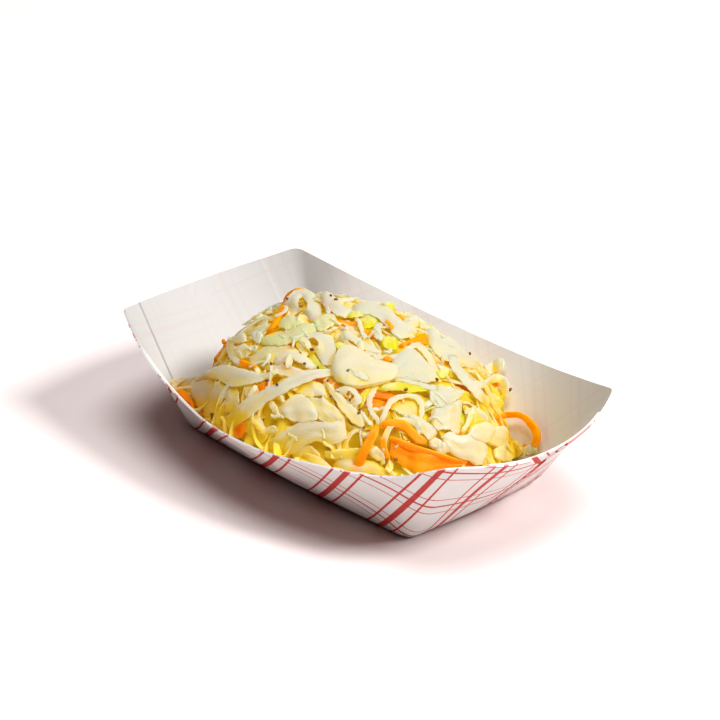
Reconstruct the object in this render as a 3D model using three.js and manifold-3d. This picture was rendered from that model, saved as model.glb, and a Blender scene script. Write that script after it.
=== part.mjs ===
// Coleslaw in a folded paperboard food tray, in millimetres.
// +X runs along the tray, +Z is up, and the origin is the middle of the tray's underside.
import * as THREE from 'three';
import { mergeVertices } from 'three/addons/utils/BufferGeometryUtils.js';
import Module from 'manifold-3d';

const wasm = await Module();
wasm.setup();

// ---------------------------------------------------------------- driving dimensions

const BOARD = 0.5;
const TRAY = {
  cornerLength: 64.4,
  cornerWidth: 34.4,
  cornerHeight: 33.8,
  sideBow: 14.3,
  sideDip: 11.9,
  endBow: 8.6,
  endDip: 4.6,
  baseLength: 43.8,
  baseWidth: 24.5,
  foldSoftness: 0.11,
};

// Where the round of each corner starts, as shares of the side and of the end.
const CORNER_START = { side: 0.965, end: 0.93 };
const ROUND_CORNER_START = { side: 0.88, end: 0.86 };

// The glued laps at the ends: half the end panel's width, and half the gap between
// the wing tips, each at the base and at the rim, as shares of the end.
const PANEL_EDGE = { base: 0.84, rim: 0.75 };
const WING_TIP = { base: 0.04, rim: 0.18 };
const LAP_STEP = 0.012;

// The heap: a dome on a low bed of slaw that fills the tray's lower part.
const HEAP = {
  centre: [-6, 0.5],
  left: 41,
  right: 53,
  near: 46,
  far: 42,
  height: 42,
  bedHeight: 15.5,
  lengthPower: 1.8,
  widthPower: 1.6,
  shoulder: 0.6,
  fall: 0.11,
};
const CLEARANCE = 0.45;
const SIDE_MARGIN = 1.5;
const END_MARGIN = 2.2;
const CORE_SINK = 2.5;

const CABBAGE = 0.75;
const SHRED_COUNT = 44;
const SHRED_MIDDLE = 6;
const SHRED_SPREAD = 38;
const SEED_COUNT = 14;
const RANDOM_SEED = 20;

const WELD_GRID = 0.004;
const UP = new THREE.Vector3(0, 0, 1);
const GOLDEN_ANGLE = Math.PI * (3 - Math.sqrt(5));

// ---------------------------------------------------------------- small helpers

function randomSource(seed) {
  let state = seed >>> 0;
  return () => {
    state = (state + 0x6d2b79f5) >>> 0;
    let mixed = Math.imul(state ^ (state >>> 15), 1 | state);
    mixed = (mixed + Math.imul(mixed ^ (mixed >>> 7), 61 | mixed)) ^ mixed;
    return ((mixed ^ (mixed >>> 14)) >>> 0) / 4294967296;
  };
}

const random = randomSource(RANDOM_SEED);
const between = (low, high) => low + (high - low) * random();
const mix = (low, high, share) => low + (high - low) * share;
const clamp = THREE.MathUtils.clamp;

function solidGeometry(points, triangles) {
  const geometry = new THREE.BufferGeometry();
  const positions = points.flatMap((point) => [point.x, point.y, point.z]);
  geometry.setAttribute('position', new THREE.Float32BufferAttribute(positions, 3));
  geometry.setIndex(triangles.flat());
  return geometry;
}

function toManifold(geometry) {
  const bare = geometry.clone();
  bare.deleteAttribute('normal');
  bare.deleteAttribute('uv');
  const merged = mergeVertices(bare, 1e-4);
  return new wasm.Manifold(new wasm.Mesh({
    numProp: 3,
    vertProperties: new Float32Array(merged.attributes.position.array),
    triVerts: new Uint32Array(merged.index.array),
  }));
}

function fromManifold(solid) {
  const mesh = solid.getMesh();
  const geometry = new THREE.BufferGeometry();
  geometry.setAttribute('position', new THREE.BufferAttribute(mesh.vertProperties, 3));
  geometry.setIndex(new THREE.BufferAttribute(mesh.triVerts, 1));
  return geometry;
}

// Corners that nearly coincide are drawn onto one grid point, and triangles that
// this closes up are left out.
function weld(geometry) {
  const grid = WELD_GRID;
  const snapped = Array.from(geometry.attributes.position.array, (value) => Math.round(value / grid) * grid);
  const shape = new THREE.BufferGeometry();
  shape.setAttribute('position', new THREE.Float32BufferAttribute(snapped, 3));
  shape.setIndex(geometry.index);
  const welded = mergeVertices(shape, grid / 4);
  const kept = [];
  const corners = welded.index.array;
  for (let i = 0; i < corners.length; i += 3) {
    const [a, b, c] = corners.slice(i, i + 3);
    if (a !== b && b !== c && c !== a) {
      kept.push(a, b, c);
    }
  }
  welded.setIndex(kept);
  return welded;
}

// ---------------------------------------------------------------- the tray

// Height share of a wall against its run share: flat at the base fold, then straight.
function wallProfile(run) {
  const k = TRAY.foldSoftness;
  return (Math.hypot(run, k) - k) / (Math.hypot(1, k) - k);
}

function wallRun(heightShare) {
  const k = TRAY.foldSoftness;
  const reach = heightShare * (Math.hypot(1, k) - k) + k;
  return Math.sqrt(Math.max(reach * reach - k * k, 0));
}

function sideRim(u) {
  const rise = 1 - u * u;
  return {
    out: TRAY.cornerWidth + TRAY.sideBow * rise,
    height: TRAY.cornerHeight - TRAY.sideDip * rise,
  };
}

function endRim(t) {
  const rise = 1 - t * t;
  return {
    out: TRAY.cornerLength + TRAY.endBow * rise,
    height: TRAY.cornerHeight - TRAY.endDip * rise,
  };
}

// A point of a long wall: u from -1 to 1 along it, run from 0 at the base to 1 at the rim.
function sidePoint(u, run, facing) {
  const rim = sideRim(u);
  const x = u * mix(TRAY.baseLength, TRAY.cornerLength, run);
  const y = mix(TRAY.baseWidth, rim.out, run);
  return new THREE.Vector3(x, facing * y, rim.height * wallProfile(run));
}

function endPoint(t, run, facing) {
  const rim = endRim(t);
  const x = mix(TRAY.baseLength, rim.out, run);
  const y = t * mix(TRAY.baseWidth, TRAY.cornerWidth, run);
  return new THREE.Vector3(facing * x, y, rim.height * wallProfile(run));
}

// Stations of one end from corner to corner, with a pair on each edge of a lap.
function endStations(start) {
  const stations = [];
  const add = (place, inner, outer) => stations.push({ place, inner, outer });
  const panel = (run) => mix(PANEL_EDGE.base, PANEL_EDGE.rim, run);
  const tip = (run) => mix(WING_TIP.base, WING_TIP.rim, run);
  const half = [
    [(run) => start.last, 1, 0],
    [(run) => panel(run) + LAP_STEP, 1, 0],
    [(run) => panel(run) - LAP_STEP, 2, 0],
    [(run) => mix(tip(run), panel(run), 0.5), 2, 0],
    [(run) => tip(run) + LAP_STEP, 2, 0],
    [(run) => tip(run) - LAP_STEP, 2, 1],
  ];
  const firstHalf = [[(run) => -start.first, 1, 0], ...half.slice(1).map(
    ([place, inner, outer]) => [(run) => -place(run), inner, outer])];
  firstHalf.forEach(([place, inner, outer]) => add(place, inner, outer));
  half.reverse().forEach(([place, inner, outer]) => add(place, inner, outer));
  return stations;
}

// One closed ring of stations round the tray, each giving a point at any run
// and the board layers under its inner and outer face.
function trayStations() {
  const stations = [];
  const sideSteps = 14;
  const cornerSteps = 4;
  const corners = [
    { facing: [1, -1], start: ROUND_CORNER_START },
    { facing: [1, 1], start: CORNER_START },
    { facing: [-1, 1], start: CORNER_START },
    { facing: [-1, -1], start: CORNER_START },
  ];

  const addSide = (facing, from, to) => {
    for (let i = 0; i <= sideSteps; i += 1) {
      const u = mix(from, to, i / sideSteps);
      stations.push({ at: (run) => sidePoint(u, run, facing), inner: 1, outer: 0 });
    }
  };
  const addCorner = (fromPoint, cornerPoint, toPoint) => {
    for (let i = 1; i < cornerSteps; i += 1) {
      const s = i / cornerSteps;
      const at = (run) => new THREE.QuadraticBezierCurve3(
        fromPoint(run), cornerPoint(run), toPoint(run)).getPoint(s);
      stations.push({ at, inner: 1, outer: 0 });
    }
  };
  const addEnd = (facing, first, last) => {
    endStations({ first, last }).forEach(({ place, inner, outer }) => {
      stations.push({ at: (run) => endPoint(facing * place(run), run, facing), inner, outer });
    });
  };

  const [nearRight, farRight, farLeft, nearLeft] = corners;
  const corner = ({ facing: [right, far] }) => (run) => sidePoint(right, run, far);
  const onSide = ({ facing: [right, far], start }) => (run) => sidePoint(right * start.side, run, far);
  const onEnd = ({ facing: [right, far], start }) => (run) => endPoint(far * start.end, run, right);

  addSide(-1, -nearLeft.start.side, nearRight.start.side);
  addCorner(onSide(nearRight), corner(nearRight), onEnd(nearRight));
  addEnd(1, nearRight.start.end, farRight.start.end);
  addCorner(onEnd(farRight), corner(farRight), onSide(farRight));
  addSide(1, farRight.start.side, -farLeft.start.side);
  addCorner(onSide(farLeft), corner(farLeft), onEnd(farLeft));
  addEnd(-1, farLeft.start.end, nearLeft.start.end);
  addCorner(onEnd(nearLeft), corner(nearLeft), onSide(nearLeft));
  return stations;
}

// The board: an outer skin from the base's middle up to the rim, and the same skin
// moved in along its normals by one or two layers of board.
function trayGeometry() {
  const runs = [0, 0.05, 0.12, 0.22, 0.42, 0.7, 1];
  const stations = trayStations();
  const count = stations.length;
  const skin = [new THREE.Vector3()];
  const innerLayers = [1];
  const outerLayers = [0];
  runs.forEach((run) => stations.forEach((station) => {
    const onWall = run > 0;
    skin.push(station.at(run));
    innerLayers.push(onWall ? station.inner : 1);
    outerLayers.push(onWall ? station.outer : 0);
  }));
  const at = (row, i) => 1 + row * count + (i % count);

  const outward = [];
  for (let i = 0; i < count; i += 1) {
    outward.push([0, at(0, i + 1), at(0, i)]);
    for (let row = 0; row + 1 < runs.length; row += 1) {
      outward.push([at(row, i), at(row, i + 1), at(row + 1, i + 1)]);
      outward.push([at(row, i), at(row + 1, i + 1), at(row + 1, i)]);
    }
  }

  const shape = solidGeometry(skin, outward);
  shape.computeVertexNormals();
  const normals = shape.attributes.normal;
  const inward = skin.map((point, i) => {
    const onBase = i <= count;
    return onBase ? UP.clone() : new THREE.Vector3().fromBufferAttribute(normals, i).negate();
  });
  const moved = (layers) => skin.map(
    (point, i) => point.clone().addScaledVector(inward[i], layers[i] * BOARD));
  const points = [...moved(outerLayers), ...moved(innerLayers)];
  const triangles = [...outward];
  outward.forEach(([a, b, c]) => triangles.push([a + skin.length, c + skin.length, b + skin.length]));
  const top = runs.length - 1;
  for (let i = 0; i < count; i += 1) {
    const [a, b] = [at(top, i), at(top, i + 1)];
    triangles.push([a, b, b + skin.length], [a, b + skin.length, a + skin.length]);
  }
  return solidGeometry(points, triangles);
}

// ---------------------------------------------------------------- room in the tray

// How far out a thing at this height may reach, along Y at x or along X at y.
function sideReach(x, z) {
  let run = 0.5;
  let rim = sideRim(0);
  for (let i = 0; i < 14; i += 1) {
    const u = clamp(Math.abs(x) / mix(TRAY.baseLength, TRAY.cornerLength, run), 0, 1);
    rim = sideRim(u);
    run = mix(run, Math.min(wallRun(clamp(z / rim.height, 0, 1)), 1), 0.6);
  }
  return mix(TRAY.baseWidth, rim.out, run) - SIDE_MARGIN;
}

function endReach(y, z) {
  let run = 0.5;
  let rim = endRim(0);
  for (let i = 0; i < 14; i += 1) {
    const t = clamp(Math.abs(y) / mix(TRAY.baseWidth, TRAY.cornerWidth, run), 0, 1);
    rim = endRim(t);
    run = mix(run, Math.min(wallRun(clamp(z / rim.height, 0, 1)), 1), 0.6);
  }
  return mix(TRAY.baseLength, rim.out, run) - END_MARGIN;
}

// Moves a point that is too far out back inside the tray.
function keepInside(point) {
  point.z = Math.max(point.z, BOARD + CLEARANCE);
  const across = sideReach(point.x, point.z);
  point.y = clamp(point.y, -across, across);
  const along = endReach(point.y, point.z);
  point.x = clamp(point.x, -along, along);
  return point;
}

function floorHeight(x, y) {
  let low = BOARD + CLEARANCE;
  let high = TRAY.cornerHeight;
  const fits = (z) => Math.abs(y) <= sideReach(x, z) && Math.abs(x) <= endReach(y, z);
  if (fits(low)) {
    return low;
  }
  for (let i = 0; i < 14; i += 1) {
    const middle = (low + high) / 2;
    if (fits(middle)) {
      high = middle;
    } else {
      low = middle;
    }
  }
  return high;
}

// ---------------------------------------------------------------- the heap's form

// Mean height of the slaw: a superelliptic dome above a bed that drops at both ends.
function heapHeight(x, y) {
  const dx = x - HEAP.centre[0];
  const dy = y - HEAP.centre[1];
  const alongShare = Math.abs(dx) / (dx < 0 ? HEAP.left : HEAP.right);
  const acrossShare = Math.abs(dy) / (dy < 0 ? HEAP.near : HEAP.far);
  const spread = alongShare ** HEAP.lengthPower + acrossShare ** HEAP.widthPower;
  const dome = Math.max(1 - spread, 0) ** HEAP.shoulder;
  const rightDrop = 0.25 * Math.max(x - 44, 0);
  const leftDrop = 0.8 * Math.max(-42 - x, 0);
  const bed = HEAP.bedHeight - 2.5 * clamp(y / 45, -1, 1) - rightDrop - leftDrop;
  return bed + (HEAP.height - HEAP.bedHeight - HEAP.fall * dx) * dome;
}

function heapNormal(x, y) {
  const step = 1.5;
  const slopeX = (heapHeight(x + step, y) - heapHeight(x - step, y)) / (2 * step);
  const slopeY = (heapHeight(x, y + step) - heapHeight(x, y - step)) / (2 * step);
  return new THREE.Vector3(-slopeX, -slopeY, 1).normalize();
}

// Low bumps about as wide as the shreds.
function bumps(x, y) {
  const waves = Math.sin(x * 0.9 + 2 * Math.sin(y * 0.31)) + Math.sin(y * 0.8 + 2 * Math.sin(x * 0.27));
  return 0.55 * waves;
}

// The core: between the tray's floor and a surface sunk below the heap's own.
function coreGeometry() {
  const angles = 32;
  const rings = 6;
  const lowRings = 3;
  const [cx, cy] = [0, 0];
  const coreTop = (x, y) => heapHeight(x, y) - CORE_SINK + bumps(x, y);
  const reach = [];
  for (let i = 0; i < angles; i += 1) {
    const angle = (2 * Math.PI * i) / angles;
    let [low, high] = [10, 75];
    for (let n = 0; n < 14; n += 1) {
      const middle = (low + high) / 2;
      const [x, y] = [cx + middle * Math.cos(angle), cy + middle * Math.sin(angle)];
      if (coreTop(x, y) > floorHeight(x, y) + 1) {
        low = middle;
      } else {
        high = middle;
      }
    }
    reach.push([Math.cos(angle) * low, Math.sin(angle) * low]);
  }

  const points = [new THREE.Vector3(cx, cy, coreTop(cx, cy)), new THREE.Vector3(cx, cy, BOARD + CLEARANCE)];
  for (let ring = 1; ring <= rings; ring += 1) {
    reach.forEach(([x, y]) => {
      const share = ring / rings;
      points.push(new THREE.Vector3(x * share, y * share, coreTop(x * share, y * share)));
    });
  }
  const lowShare = (ring) => mix(0.5, 1, ring / lowRings);
  for (let ring = 0; ring <= lowRings; ring += 1) {
    reach.forEach(([x, y]) => {
      const share = lowShare(ring);
      points.push(new THREE.Vector3(x * share, y * share, floorHeight(x * share, y * share)));
    });
  }

  const topAt = (ring, i) => 2 + (ring - 1) * angles + (i % angles);
  const lowAt = (ring, i) => 2 + (rings + ring) * angles + (i % angles);
  const triangles = [];
  for (let i = 0; i < angles; i += 1) {
    triangles.push([0, topAt(1, i), topAt(1, i + 1)]);
    triangles.push([1, lowAt(0, i + 1), lowAt(0, i)]);
    for (let ring = 1; ring < rings; ring += 1) {
      triangles.push([topAt(ring, i), topAt(ring + 1, i), topAt(ring + 1, i + 1)]);
      triangles.push([topAt(ring, i), topAt(ring + 1, i + 1), topAt(ring, i + 1)]);
    }
    for (let ring = 0; ring < lowRings; ring += 1) {
      triangles.push([lowAt(ring, i), lowAt(ring + 1, i + 1), lowAt(ring + 1, i)]);
      triangles.push([lowAt(ring, i), lowAt(ring, i + 1), lowAt(ring + 1, i + 1)]);
    }
    triangles.push([topAt(rings, i), lowAt(lowRings, i), lowAt(lowRings, i + 1)]);
    triangles.push([topAt(rings, i), lowAt(lowRings, i + 1), topAt(rings, i + 1)]);
  }
  return solidGeometry(points, triangles);
}

// ---------------------------------------------------------------- pieces of the heap

// A closed bar with a four-sided section, from the middle, width and thickness
// directions of each station.
function barGeometry(stations) {
  const points = [];
  stations.forEach(({ middle, side, up }) => {
    [[-1, -1], [1, -1], [1, 1], [-1, 1]].forEach(([a, b]) => {
      const point = middle.clone().addScaledVector(side, a).addScaledVector(up, b);
      points.push(keepInside(point));
    });
  });
  const triangles = [[0, 2, 1], [0, 3, 2]];
  for (let i = 0; i + 1 < stations.length; i += 1) {
    for (let k = 0; k < 4; k += 1) {
      const [a, b] = [4 * i + k, 4 * i + ((k + 1) % 4)];
      triangles.push([a, b, b + 4], [a, b + 4, a + 4]);
    }
  }
  const end = 4 * (stations.length - 1);
  triangles.push([end, end + 1, end + 2], [end, end + 2, end + 3]);
  return solidGeometry(points, triangles);
}

// A shred or strip along a curve, its width lying on the heap and turned by a roll,
// with both ends tucked into the heap.
function strip(points, { width, thick, roll = 0, twist = 0, steps = 7, tip = 0.55, tuck = 1.8 }) {
  const curve = new THREE.CatmullRomCurve3(points);
  const stations = [];
  for (let i = 0; i < steps; i += 1) {
    const share = i / (steps - 1);
    const middle = curve.getPointAt(share);
    middle.z -= tuck * (2 * share - 1) ** 4;
    const along = curve.getTangentAt(share);
    const turn = roll + twist * (share - 0.5);
    const up = heapNormal(middle.x, middle.y).applyAxisAngle(along, turn);
    const side = new THREE.Vector3().crossVectors(up, along).normalize();
    up.crossVectors(along, side).normalize();
    const half = (width / 2) * mix(tip, 1, Math.sin(Math.PI * share) ** 0.5);
    stations.push({
      middle,
      side: side.multiplyScalar(half),
      up: up.multiplyScalar(thick / 2),
    });
  }
  return barGeometry(stations);
}

// A shred rolled round an axis, a little open at its ends.
function curl(centre, axis, { radius, width, thick, turn = 5.2, start = 0, pitch = 1.2, steps = 11 }) {
  const along = axis.clone().normalize();
  const across = new THREE.Vector3().crossVectors(along, UP).normalize();
  const rise = new THREE.Vector3().crossVectors(along, across);
  const stations = [];
  for (let i = 0; i < steps; i += 1) {
    const share = i / (steps - 1);
    const angle = start + turn * share;
    const out = across.clone().multiplyScalar(Math.cos(angle)).addScaledVector(rise, Math.sin(angle));
    const middle = centre.clone().addScaledVector(out, radius * (1 - 0.12 * share));
    middle.addScaledVector(along, pitch * (share - 0.5));
    stations.push({
      middle,
      side: along.clone().multiplyScalar(width / 2),
      up: out.multiplyScalar(thick / 2),
    });
  }
  return barGeometry(stations);
}

// A wide thin leaf: a wavy sheet with a rounded outline and both faces split alike.
function leaf(centre, heading, { length, width, thick = CABBAGE, wave = 1.2, lean = 0, sag = 1.5 }) {
  const along = new THREE.Vector3(Math.cos(heading), Math.sin(heading), 0);
  const normal = heapNormal(centre.x, centre.y);
  along.addScaledVector(normal, -along.dot(normal)).normalize();
  normal.applyAxisAngle(along, lean);
  const across = new THREE.Vector3().crossVectors(normal, along);
  const columns = 6;
  const rows = 3;
  const points = [];
  [-1, 1].forEach((face) => {
    for (let i = 0; i <= columns; i += 1) {
      for (let k = 0; k <= rows; k += 1) {
        const s = (2 * i) / columns - 1;
        const w = (2 * k) / rows - 1;
        const half = (width / 2) * Math.sqrt(1 - 0.75 * s * s) * (1 + 0.12 * Math.sin(5 * s));
        const bend = wave * Math.sin(3 * s + 1.7 * w) - sag * (s * s + 0.6 * w * w) + face * thick / 2;
        const point = centre.clone().addScaledVector(along, (s * length) / 2);
        point.addScaledVector(across, w * half).addScaledVector(normal, bend);
        points.push(keepInside(point));
      }
    }
  });
  const size = (columns + 1) * (rows + 1);
  const at = (i, k) => i * (rows + 1) + k;
  const triangles = [];
  const wall = (a, b) => triangles.push([a, b, b + size], [a, b + size, a + size]);
  for (let i = 0; i < columns; i += 1) {
    for (let k = 0; k < rows; k += 1) {
      const [a, b, c, d] = [at(i, k), at(i + 1, k), at(i + 1, k + 1), at(i, k + 1)];
      triangles.push([a, c, b], [a, d, c]);
      triangles.push([a + size, b + size, c + size], [a + size, c + size, d + size]);
    }
    wall(at(i, 0), at(i + 1, 0));
    wall(at(i + 1, rows), at(i, rows));
  }
  for (let k = 0; k < rows; k += 1) {
    wall(at(0, k + 1), at(0, k));
    wall(at(columns, k), at(columns, k + 1));
  }
  return solidGeometry(points, triangles);
}

// A thick piece of leaf rib: rounded sections that taper towards one end.
function ribChunk(from, to, { width, thick, roll = 0 }) {
  const sides = 8;
  const steps = 5;
  const along = to.clone().sub(from).normalize();
  const up = heapNormal(from.x, from.y).applyAxisAngle(along, roll);
  const side = new THREE.Vector3().crossVectors(up, along).normalize();
  up.crossVectors(along, side).normalize();
  const points = [];
  for (let i = 0; i <= steps; i += 1) {
    const share = i / steps;
    const swell = Math.sin(Math.PI * mix(0.2, 0.75, share));
    const middle = from.clone().lerp(to, share).addScaledVector(up, 1.2 * Math.sin(Math.PI * share));
    for (let k = 0; k < sides; k += 1) {
      const angle = (2 * Math.PI * k) / sides;
      const point = middle.clone().addScaledVector(side, (width / 2) * swell * Math.cos(angle));
      points.push(keepInside(point.addScaledVector(up, (thick / 2) * swell * Math.sin(angle))));
    }
  }
  points.push(from.clone().addScaledVector(along, -0.8), to.clone().addScaledVector(along, 0.8));
  const [first, last] = [points.length - 2, points.length - 1];
  const at = (i, k) => i * sides + (k % sides);
  const triangles = [];
  for (let k = 0; k < sides; k += 1) {
    triangles.push([first, at(0, k + 1), at(0, k)], [last, at(steps, k), at(steps, k + 1)]);
    for (let i = 0; i < steps; i += 1) {
      triangles.push([at(i, k), at(i, k + 1), at(i + 1, k + 1)], [at(i, k), at(i + 1, k + 1), at(i + 1, k)]);
    }
  }
  return solidGeometry(points, triangles);
}

function seedGeometry(place, heading) {
  const geometry = new THREE.IcosahedronGeometry(1, 0);
  geometry.scale(0.85, 0.5, 0.5);
  geometry.rotateZ(heading);
  geometry.translate(place.x, place.y, place.z);
  return geometry;
}

// ---------------------------------------------------------------- the arrangement

// A point on the heap's surface, raised by a lift.
const onHeap = (x, y, lift = 0) => new THREE.Vector3(x, y, heapHeight(x, y) + lift);
const path = (places) => places.map(([x, y, lift]) => onHeap(x, y, lift));

function carrotPieces() {
  const grated = { thick: 1.5, tip: 0.85 };
  return [
    strip([new THREE.Vector3(-27, -5, 43), new THREE.Vector3(-27, -11, 40), new THREE.Vector3(-27, -17, 35)],
      { width: 2.2, ...grated, steps: 4 }),
    strip([new THREE.Vector3(-24, -8, 44), new THREE.Vector3(-23, -6, 46.4), new THREE.Vector3(-20, -3, 47.2)],
      { width: 2, ...grated, steps: 5 }),
    strip(path([[10, 6, 1], [11, 10, 2], [13, 14, 2.2]]), { width: 4, thick: 1.4, tip: 0.6, steps: 4 }),
    strip(path([[28, -22, 2], [29, -27, 1.5], [31, -34, 1.2]]), { width: 3.2, ...grated, steps: 4 }),
    strip(path([[27, -21, 1], [29, -18, 2.2], [32, -16, 2], [36, -14, 0.6]]), { width: 2.4, ...grated }),
    strip(path([[33, -21, 1], [37, -18, 1.4], [42, -14, 1.2], [46, -8, 1]]),
      { width: 7.5, thick: 1.8, tip: 0.4, roll: -0.35 }),
    strip([new THREE.Vector3(41, 9, 20), new THREE.Vector3(47, 14, 19.5), new THREE.Vector3(51, 17, 20),
      new THREE.Vector3(55, 15, 18.5), new THREE.Vector3(56, 10, 15), new THREE.Vector3(53, 6, 12)],
      { width: 1.9, ...grated, steps: 9 }),
    strip(path([[-42, -31, 1], [-36, -36, 1.4], [-30, -39, 1]]), { width: 3, ...grated, steps: 4 }),
    strip(path([[-36, -20, 1.6], [-40, -22, 1.4], [-43, -24, 0.6]]), { width: 1.8, ...grated, steps: 4 }),
    strip(path([[-8, -36, 1], [-3, -33, 1.4]]), { width: 3.4, ...grated, steps: 4 }),
  ];
}

function rolledPieces() {
  const towardNearRight = new THREE.Vector3(0.7, -0.68, 0.2);
  return [
    curl(new THREE.Vector3(-18, -6, 41.5), towardNearRight, { radius: 4.8, width: 2.6, thick: 1, start: -1 }),
    curl(new THREE.Vector3(-2, -19, 38.5), new THREE.Vector3(0.6, -0.6, 0.55),
      { radius: 4.4, width: 3, thick: 0.9, start: 0.6 }),
    curl(new THREE.Vector3(-19, -30, 33), new THREE.Vector3(0.6, -0.7, 0.4),
      { radius: 3.2, width: 3.4, thick: 0.8, start: 0.3 }),
    curl(new THREE.Vector3(17, -23, 32.5), new THREE.Vector3(0.5, -0.7, 0.5),
      { radius: 2.9, width: 4, thick: 0.9, start: 1 }),
    curl(new THREE.Vector3(-1, -43, 22.5), new THREE.Vector3(0.4, -0.8, 0.45),
      { radius: 2.6, width: 3.4, thick: 0.9, start: 2 }),
    curl(new THREE.Vector3(37, 11, 27.5), new THREE.Vector3(0.8, -0.5, 0.3),
      { radius: 4.2, width: 3, thick: 0.9, start: 1.4 }),
    curl(new THREE.Vector3(37, -5, 26.5), new THREE.Vector3(0.3, 0.2, 0.9),
      { radius: 3.8, width: 5, thick: 1, start: 2.6, turn: 3.6 }),
  ];
}

function leafPieces() {
  return [
    leaf(onHeap(18, -1, 0.6), 0.9, { length: 17, width: 11 }),
    leaf(onHeap(12, -31, 0.6), 0.5, { length: 19, width: 8, lean: -0.2 }),
    leaf(onHeap(17, -37, 1), 0.75, { length: 22, width: 8, lean: 0.3 }),
    leaf(onHeap(-10, -27, 0.2), 0.6, { length: 15, width: 8 }),
    leaf(onHeap(10, 24, 0.4), 0.7, { length: 16, width: 9 }),
    leaf(onHeap(-24, 16, 0.4), 2.2, { length: 16, width: 9 }),
    leaf(onHeap(-5, 33, 0.4), 3, { length: 17, width: 9 }),
    leaf(onHeap(31, 26, 0.4), 2.4, { length: 15, width: 9 }),
    leaf(onHeap(43, -4, 0.8), 1, { length: 12, width: 8, thick: 1.4 }),
    leaf(onHeap(-38, 3, 0.4), 1.6, { length: 14, width: 8 }),
    leaf(onHeap(20, -41, 0.2), 0.3, { length: 12, width: 6 }),
  ];
}

function ribbonPieces() {
  const cut = { thick: CABBAGE };
  return [
    strip(path([[-8, -43, 1.5], [-3, -41, 2.5], [1, -36, 2.6], [5, -29, 2.4], [10, -21, 1]]),
      { width: 3, ...cut, roll: 0.4 }),
    strip(path([[-41, -29, 1.6], [-33, -31, 2.8], [-24, -32, 2.6], [-12, -34, 2], [-3, -33, 1]]),
      { width: 4.2, ...cut, roll: 0.5 }),
    strip(path([[-17, -25, 1], [-10, -22, 2], [-7, -15, 2], [-6, -9, 1.6], [-5, -4, 1]]),
      { width: 3.2, ...cut, roll: 0.3 }),
    strip(path([[-15, 1, 2], [-8, 3, 2.5], [-1, 4, 1.6]]), { width: 3.8, ...cut }),
    strip(path([[8, -22, 1], [15, -24, 1.4], [22, -24, 1.2], [28, -24, 0.6]]), { width: 3.6, ...cut, roll: -0.3 }),
    strip(path([[27, -20, 0.8], [27, -16, 2.2], [27, -10, 2.4], [31, -7, 2], [36, -11, 0.8]]), { width: 1.8, ...cut }),
    strip(path([[20, -14, 0.8], [24, -9, 1.6], [28, -4, 1.6], [33, 1, 1]]), { width: 3.4, ...cut, roll: 0.3 }),
    strip(path([[20, -9, 1.6], [27, -2, 2.4], [32, 8, 1.8]]), { width: 2.8, ...cut }),
    strip(path([[17, -3, 1], [14, 6, 2], [19, 7, 2], [25, 5, 1]]), { width: 2, ...cut }),
    strip(path([[12, 19, 1.2], [20, 17, 2], [28, 15, 1.8], [34, 16, 1]]), { width: 3.2, ...cut }),
    strip(path([[-10, 9, 1.4], [-3, 12, 2.2], [3, 13, 2], [9, 14, 1]]), { width: 4, ...cut }),
    strip(path([[-34, -35, 1], [-25, -35, 1.2], [-19, -41, 0.8]]), { width: 3, ...cut, roll: 0.8 }),
    strip(path([[16, -42, 1], [21, -38, 1.4], [25, -35, 0.6]]), { width: 3, ...cut }),
    strip(path([[-10, 14, 1.4], [-6, 18, 3], [0, 20, 2]]), { width: 3, ...cut, roll: 0.7 }),
    strip(path([[34, 20, 1.2], [39, 15, 3], [43, 9, 1.4]]), { width: 3, ...cut, roll: 0.4 }),
  ];
}

// Shreds spread evenly over the heap on a golden-angle spiral, each bent, arched and rolled.
function scatteredShreds() {
  const shreds = [];
  for (let i = 0; i < SHRED_COUNT; i += 1) {
    const radius = Math.sqrt((i + 0.5) / SHRED_COUNT);
    const angle = i * GOLDEN_ANGLE;
    const reachX = Math.cos(angle) < 0 ? HEAP.left : HEAP.right;
    const x = HEAP.centre[0] + reachX * radius * Math.cos(angle);
    const y = SHRED_MIDDLE + SHRED_SPREAD * radius * Math.sin(angle);
    const heading = between(0, 2 * Math.PI);
    const length = between(14, 26);
    const bend = between(-0.09, 0.09);
    const arch = between(0, 2.6);
    const lift = between(-0.9, 0.7);
    const places = [];
    for (let k = 0; k < 5; k += 1) {
      const share = k / 4;
      const run = length * (share - 0.5);
      const turn = heading + bend * run;
      const place = [x + run * Math.cos(turn), y + run * Math.sin(turn)];
      places.push([...place, lift + arch * Math.sin(Math.PI * share)]);
    }
    shreds.push(strip(path(places), {
      width: between(2, 3.8),
      thick: CABBAGE,
      roll: between(-0.9, 0.9),
      twist: between(-1.2, 1.2),
      steps: 5,
      tuck: 1,
    }));
  }
  return shreds;
}

// Celery seeds on the same kind of spiral, each dropped onto what lies below it.
function seeds(heap) {
  const all = [];
  const landing = new THREE.Mesh(fromManifold(heap), new THREE.MeshStandardMaterial());
  const down = new THREE.Vector3(0, 0, -1);
  for (let i = 0; i < SEED_COUNT; i += 1) {
    const radius = 0.85 * Math.sqrt((i + 0.5) / SEED_COUNT);
    const angle = i * GOLDEN_ANGLE + 0.7;
    const x = HEAP.centre[0] + 44 * radius * Math.cos(angle);
    const y = HEAP.centre[1] + 40 * radius * Math.sin(angle);
    const ray = new THREE.Raycaster(new THREE.Vector3(x, y, 2 * HEAP.height), down);
    const [contact] = ray.intersectObject(landing);
    all.push(seedGeometry(contact.point, between(0, Math.PI)));
  }
  return all;
}

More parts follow.
